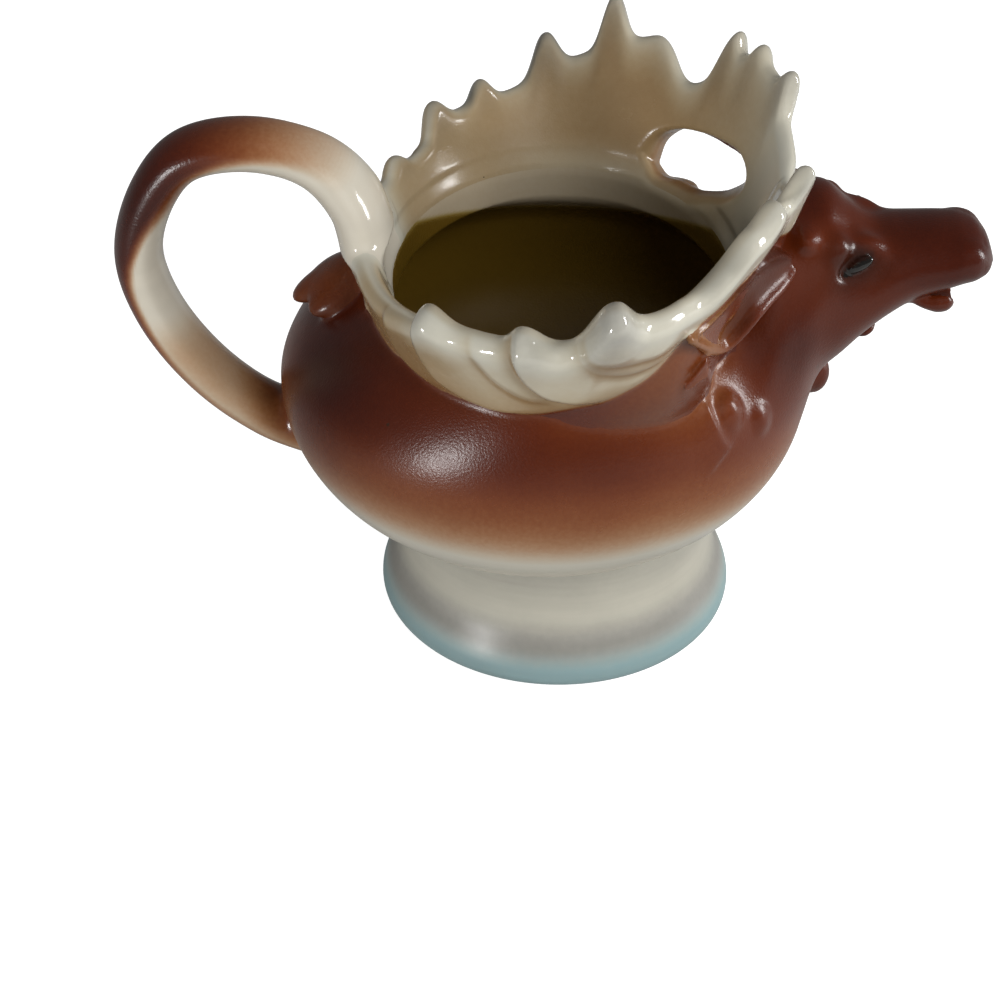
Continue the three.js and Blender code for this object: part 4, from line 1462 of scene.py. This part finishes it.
@cache
def coat_group(opaque: bool) -> bpy.types.NodeTree:
    """Airbrushed coat whose density breaks up into fine droplets.

    Args:
        opaque: whether the coat hides what is below it or filters its light.

    Returns:
        The node group.
    """
    name = "airbrush_opaque" if opaque else "airbrush_filter"
    takes = {"Under": COLOUR, "Coat": COLOUR, "Density": NUMBER, "Grain": NUMBER, "Scale": NUMBER}
    wheel, given, result = new_group(name, takes, {"Colour": COLOUR, "Cover": NUMBER})
    density = given["Density"]
    break_up = wheel.swing(wheel.noise(given["Scale"], 3.0), wheel.noise(70.0, 4.0))
    open_edge = wheel.math("MULTIPLY", density, wheel.math("SUBTRACT", 1.25, density))
    shift = wheel.math("MULTIPLY", wheel.math("MULTIPLY", break_up, given["Grain"]), open_edge)
    cover = wheel.math("ADD", density, wheel.math("MULTIPLY", shift, 3.0), clamp=True)
    if opaque:
        sprayed = wheel.blend(cover, given["Under"], given["Coat"])
    else:
        film = wheel.add("ShaderNodeGamma", {"Color": given["Coat"], "Gamma": cover})
        sprayed = wheel.blend(1.0, given["Under"], film.outputs["Color"], "MULTIPLY")
    wheel.feed(result, {"Colour": sprayed, "Cover": cover})
    return wheel.tree


@cache
def streak_group() -> bpy.types.NodeTree:
    """Faint level streaks left by the brush and the wheel."""
    takes = {"Colour": COLOUR, "Amount": NUMBER}
    wheel, given, result = new_group("level_streaks", takes, {"Colour": COLOUR})
    swing = wheel.swing(wheel.noise(60.0, 5.0, (0.35, 0.35, 6.0)), wheel.noise(45.0, 3.0))
    level = wheel.math("ADD", 1.0, wheel.math("MULTIPLY", swing, given["Amount"]))
    scaled = wheel.add("ShaderNodeVectorMath", {0: given["Colour"]}, operation="SCALE")
    wheel.feed(scaled, {"Scale": level})
    wheel.feed(result, {"Colour": scaled.outputs[0]})
    return wheel.tree


@cache
def speck_group() -> bpy.types.NodeTree:
    """Sparse dark specks and pinholes in the glaze."""
    takes = {"Colour": COLOUR, "Amount": NUMBER}
    wheel, given, result = new_group("glaze_specks", takes, {"Colour": COLOUR, "Pit": NUMBER})
    place = wheel.add("ShaderNodeTexCoord").outputs["Object"]
    cells = wheel.add("ShaderNodeTexVoronoi", {"Vector": place, "Scale": 240.0})
    pick = wheel.add("ShaderNodeSeparateColor", {0: cells.outputs["Color"]})
    size = wheel.math("ADD", 0.04, wheel.math("MULTIPLY", pick.outputs["Green"], 0.05))
    dot = wheel.math("LESS_THAN", cells.outputs["Distance"], size)
    chosen = wheel.math("LESS_THAN", pick.outputs["Red"], given["Amount"])
    pit = wheel.math("MULTIPLY", dot, chosen)
    dark = wheel.blend(wheel.math("MULTIPLY", pit, 0.7), given["Colour"], (0.02, 0.012, 0.006, 1.0))
    wheel.feed(result, {"Colour": dark, "Pit": pit})
    return wheel.tree


@cache
def surface_group() -> bpy.types.NodeTree:
    """Glaze surface: gloss that turns satin under the brown coat, orange peel and pinholes."""
    takes = dict.fromkeys(("Gloss", "Satin", "Peel", "Clear", "Cover", "Wet", "Pit"), NUMBER)
    gives = dict.fromkeys(("Roughness", "Coat", "Height"), NUMBER)
    wheel, given, result = new_group("glaze_surface", takes, gives)
    span = wheel.math("SUBTRACT", given["Satin"], given["Gloss"])
    rough = wheel.math("ADD", given["Gloss"], wheel.math("MULTIPLY", span, given["Cover"]))
    dry = wheel.math("SUBTRACT", 1.0, wheel.math("MULTIPLY", given["Wet"], 0.7))
    wave = wheel.math("ADD", 0.85, wheel.math("MULTIPLY", wheel.noise(160.0, 4.0), 0.3))
    rough = wheel.math("MULTIPLY", wheel.math("MULTIPLY", rough, dry), wave, clamp=True)
    bare = wheel.math("SUBTRACT", 1.0, given["Cover"], clamp=True)
    clear = wheel.math("MULTIPLY", given["Clear"], bare)
    coat = wheel.math("MAXIMUM", clear, wheel.math("MULTIPLY", given["Wet"], 0.6))
    peel = wheel.math("MULTIPLY", wheel.noise(420.0, 2.0), given["Peel"])
    grit = wheel.math("MULTIPLY", wheel.noise(2600.0, 2.0), wheel.math("MULTIPLY", given["Cover"], 0.13))
    height = wheel.math("SUBTRACT", wheel.math("ADD", peel, grit), wheel.math("MULTIPLY", given["Pit"], 0.5))
    wheel.feed(result, {"Roughness": rough, "Coat": coat, "Height": height})
    return wheel.tree


@dataclass(frozen=True)
class Tint:
    """One coat: the light it lets through, or its own colour if it is opaque, and its spray's coarseness."""

    coat: Coat
    colour: tuple
    grain: float
    scale: float
    opaque: bool = False
    satin: bool = False


@dataclass(frozen=True)
class Glaze:
    """Fired glaze over the airbrushed coats."""

    name: str
    ground: tuple
    gloss: float
    satin: float
    peel: float
    specks: float
    streaks: float
    shine: float
    coat: float
    coat_roughness: float = 0.1
    relief: float = 0.6
    relief_depth: float = 0.0006
    tints: tuple = (
        # Tan also serves as painted shade inside the bowl, in the antler creases and at the handle's roots.
        Tint(Coat.TAN, (0.44, 0.27, 0.13), 0.1, 900.0, satin=True),
        # Grey is a tone on the foot, and painted shade on the antler tine knobs.
        Tint(Coat.GREY, (0.46, 0.47, 0.52), 0.2, 700.0),
        Tint(Coat.BLUE, (0.2, 0.29, 0.3), 0.2, 800.0, opaque=True),
        Tint(Coat.BROWN, (0.19, 0.033, 0.0075), 0.14, 1300.0, satin=True),
        # Umber also serves as painted shade under the jaw.
        Tint(Coat.UMBER, (0.25, 0.15, 0.13), 0.2, 1000.0),
        # Painted shade: dark olive where shade falls inside the bowl and in the ear hollows.
        Tint(Coat.OLIVE, (0.27, 0.185, 0.03), 0.1, 600.0, satin=True),
        Tint(Coat.INK, (0.006, 0.005, 0.004), 0.15, 1200.0, opaque=True),
    )

    def material(self) -> bpy.types.Material:
        """Node material of the glaze.

        Returns:
            The finished material.
        """
        material = bpy.data.materials.new(self.name)
        material.use_nodes = True
        wheel = Wiring(material.node_tree)
        colour, matt, wet = (*self.ground, 1.0), 0.0, 0.0
        for tint in self.tints:
            density = wheel.add("ShaderNodeAttribute", attribute_name=tint.coat.value).outputs["Fac"]
            inputs = {"Under": colour, "Coat": (*tint.colour, 1.0), "Density": density}
            inputs |= {"Grain": tint.grain, "Scale": tint.scale}
            sprayed = wheel.group(coat_group(tint.opaque), inputs)
            colour, cover = sprayed["Colour"], sprayed["Cover"]
            if tint.satin:
                matt = wheel.math("MAXIMUM", cover, matt)
            if tint.coat is Coat.INK:
                wet = wheel.math("MULTIPLY", wheel.math("SUBTRACT", cover, 0.8), 5.0, clamp=True)
        streaked = wheel.group(streak_group(), {"Colour": colour, "Amount": self.streaks})
        specked = wheel.group(speck_group(), {"Colour": streaked["Colour"], "Amount": self.specks})
        inputs = {"Gloss": self.gloss, "Satin": self.satin, "Peel": self.peel, "Clear": self.coat}
        inputs |= {"Cover": matt, "Wet": wet, "Pit": specked["Pit"]}
        surface = wheel.group(surface_group(), inputs)
        inputs = {"Strength": self.relief, "Distance": self.relief_depth, "Height": surface["Height"]}
        bump = wheel.add("ShaderNodeBump", inputs)
        inputs = {
            "Base Color": specked["Colour"],
            "Roughness": surface["Roughness"],
            "Specular IOR Level": self.shine,
            "Coat Weight": surface["Coat"],
            "Coat Roughness": self.coat_roughness,
            "Normal": bump.outputs["Normal"],
        }
        wheel.feed(material.node_tree.nodes["Principled BSDF"], inputs)
        return material


GLAZES = (
    Glaze(
        "brown_glaze", (0.45, 0.42, 0.35),
        gloss=0.22, satin=0.3, peel=0.05, specks=0.05, streaks=0.1, shine=0.32, coat=0.0,
    ),
    Glaze(
        "ivory_glaze", (0.48, 0.46, 0.385),
        gloss=0.12, satin=0.3, peel=0.06, specks=0.05, streaks=0.08, shine=0.5, coat=0.3,
    ),
    Glaze(
        "cream_glaze", (0.52, 0.48, 0.4),
        gloss=0.14, satin=0.29, peel=0.05, specks=0.05, streaks=0.12, shine=0.4, coat=0.15,
    ),
    Glaze(
        "foot_glaze", (0.41, 0.39, 0.325),
        gloss=0.36, satin=0.36, peel=0.05, specks=0.06, streaks=0.3, shine=0.32, coat=0.0,
    ),
)


@dataclass(frozen=True)
class Lamp:
    """Soft window that looks at the jug: its place in degrees and metres, its size and its watts."""

    name: str
    azimuth: float
    elevation: float
    distance: float
    size: tuple
    power: float
    mirrored: bool
    aim: tuple = (0.0, 0.0, 0.05)

    def build(self) -> None:
        """Put the lamp in place, and hide it from the glaze if it isn't mirrored there."""
        data = bpy.data.lights.new(self.name, "AREA")
        data.shape = "RECTANGLE"
        data.size, data.size_y = self.size
        data.energy = self.power
        thing = bpy.data.objects.new(self.name, data)
        thing.visible_glossy = self.mirrored
        az, el = math.radians(self.azimuth), math.radians(self.elevation)
        way = Vector((math.cos(el) * math.cos(az), math.cos(el) * math.sin(az), math.sin(el)))
        thing.location = Vector(self.aim) + way * self.distance
        thing.rotation_euler = (-way).to_track_quat("-Z", "Y").to_euler()
        bpy.context.scene.collection.objects.link(thing)


@dataclass
class Studio:
    """Floor, lamps and camera."""

    lens: float = 79.2
    sensor: float = 36.0
    place: tuple = (2.2, -326.2, 263.7)
    yaw: float = -2.22
    pitch: float = 36.98
    roll: float = 0.39
    floor_size: float = 6.0
    floor_colour: tuple = (0.55, 0.55, 0.54, 1.0)
    floor_glow: float = 0.93
    room_glow: float = 0.9
    room_light: float = 0.12
    mirrored: float = 0.05
    lamps: tuple = (
        Lamp("lamp_left", -133.0, 5.5, 0.7, (0.11, 0.11), 2.5, True),
        Lamp("lamp_right", 6.0, 15.0, 0.7, (0.1, 0.3), 3.0, True),
        Lamp("lamp_fill", -50.0, 34.0, 0.8, (0.5, 0.5), 4.9, False),
        Lamp("lamp_top", -90.0, 75.0, 0.9, (0.3, 0.3), 0.5, False),
    )

    def camera(self, offset: Vector) -> None:
        """Camera at the photograph's place.

        Args:
            offset: place of the jug's own origin in the row frame, in metres.
        """
        data = bpy.data.cameras.new("camera")
        data.lens = self.lens
        data.sensor_width = self.sensor
        data.sensor_fit = "HORIZONTAL"
        data.clip_start = 0.01
        thing = bpy.data.objects.new("camera", data)
        yaw, pitch, roll = (math.radians(a) for a in (self.yaw, self.pitch, self.roll))
        ahead = Vector((math.sin(yaw) * math.cos(pitch), math.cos(yaw) * math.cos(pitch), -math.sin(pitch)))
        right = Vector((math.cos(yaw), -math.sin(yaw), 0.0))
        up = right.cross(ahead)
        across = math.cos(roll) * right + math.sin(roll) * up
        above = -math.sin(roll) * right + math.cos(roll) * up
        turn = Matrix((across, above, -ahead)).transposed().to_4x4()
        thing.matrix_world = Matrix.Translation(Vector(self.place) * MM + offset) @ turn
        bpy.context.scene.collection.objects.link(thing)
        bpy.context.scene.camera = thing

    def backdrop(self, wheel: Wiring, glow: float) -> Socket:
        """White background as a ray sees it: all of it, or less where the glaze mirrors it.

        Args:
            wheel: wiring of the floor's material or the world.
            glow: strength of the background.

        Returns:
            Socket of the strength for that ray.
        """
        path = wheel.add("ShaderNodeLightPath").outputs
        direct = wheel.math("MAXIMUM", path["Is Camera Ray"], path["Is Transmission Ray"])
        glossy = wheel.math("MULTIPLY", path["Is Glossy Ray"], self.mirrored)
        return wheel.math("MULTIPLY", wheel.math("MAXIMUM", direct, glossy), glow)

    def floor(self) -> None:
        """White floor that the camera sees as the photograph's plain ground, with a faint shadow."""
        bpy.ops.mesh.primitive_plane_add(size=self.floor_size, location=(0, 0, 0))
        floor = bpy.context.object
        floor.name = "floor"
        material = bpy.data.materials.new("white_ground")
        material.use_nodes = True
        wheel = Wiring(material.node_tree)
        inputs = {
            "Base Color": self.floor_colour,
            "Roughness": 0.9,
            "Specular IOR Level": 0.0,
            "Emission Color": (1.0, 1.0, 1.0, 1.0),
            "Emission Strength": self.backdrop(wheel, self.floor_glow),
        }
        wheel.feed(material.node_tree.nodes["Principled BSDF"], inputs)
        floor.data.materials.append(material)

    def build(self, offset: Vector) -> None:
        """Everything round the jug.

        Args:
            offset: place of the jug's own origin in the row frame, in metres.
        """
        self.camera(offset)
        for lamp in self.lamps:
            lamp.build()
        world = bpy.data.worlds.new("room")
        world.use_nodes = True
        wheel = Wiring(world.node_tree)
        strength = wheel.math("ADD", self.backdrop(wheel, self.room_glow), self.room_light)
        inputs = {"Color": (1.0, 1.0, 1.0, 1.0), "Strength": strength}
        wheel.feed(world.node_tree.nodes["Background"], inputs)
        bpy.context.scene.world = world
        self.floor()
        bpy.context.scene.view_settings.view_transform = "Standard"


def main() -> None:
    """Build the jug and the studio."""
    logging.basicConfig(level=logging.INFO, format="%(message)s")
    low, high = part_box("pedestal_foot")
    offset = Vector(((low.x + high.x) / 2, 0.0, 0.0))
    antlers = [Antler(node="antler_left", rolled=0.0), right_antler()]
    ears = [left_ear(), Ear(node="ear_right", side=Side.RIGHT)]
    ruffs = [NeckRuff(node=f"neck_ruff_{side.word}", side=side) for side in Side]
    pieces = [BOWL, *antlers, HeadSpout(), Handle(), HandleLeaf(), *ears, *ruffs]
    pieces += [ThroatBell(), PedestalFoot()]
    jug = Jug(Lattice(FINE_VOXEL), pieces)
    jug.lute()
    glazes = {glaze.name: glaze.material() for glaze in GLAZES}
    for piece in pieces:
        thing = jug.mesh(piece, offset)
        thing.data.materials.append(glazes[piece.slot])
        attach(thing, "root")
        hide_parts(piece.node)
        LOG.info("%s: %d faces", thing.name, len(thing.data.polygons))
    Studio().build(offset)


if __name__ == "__main__":
    main()
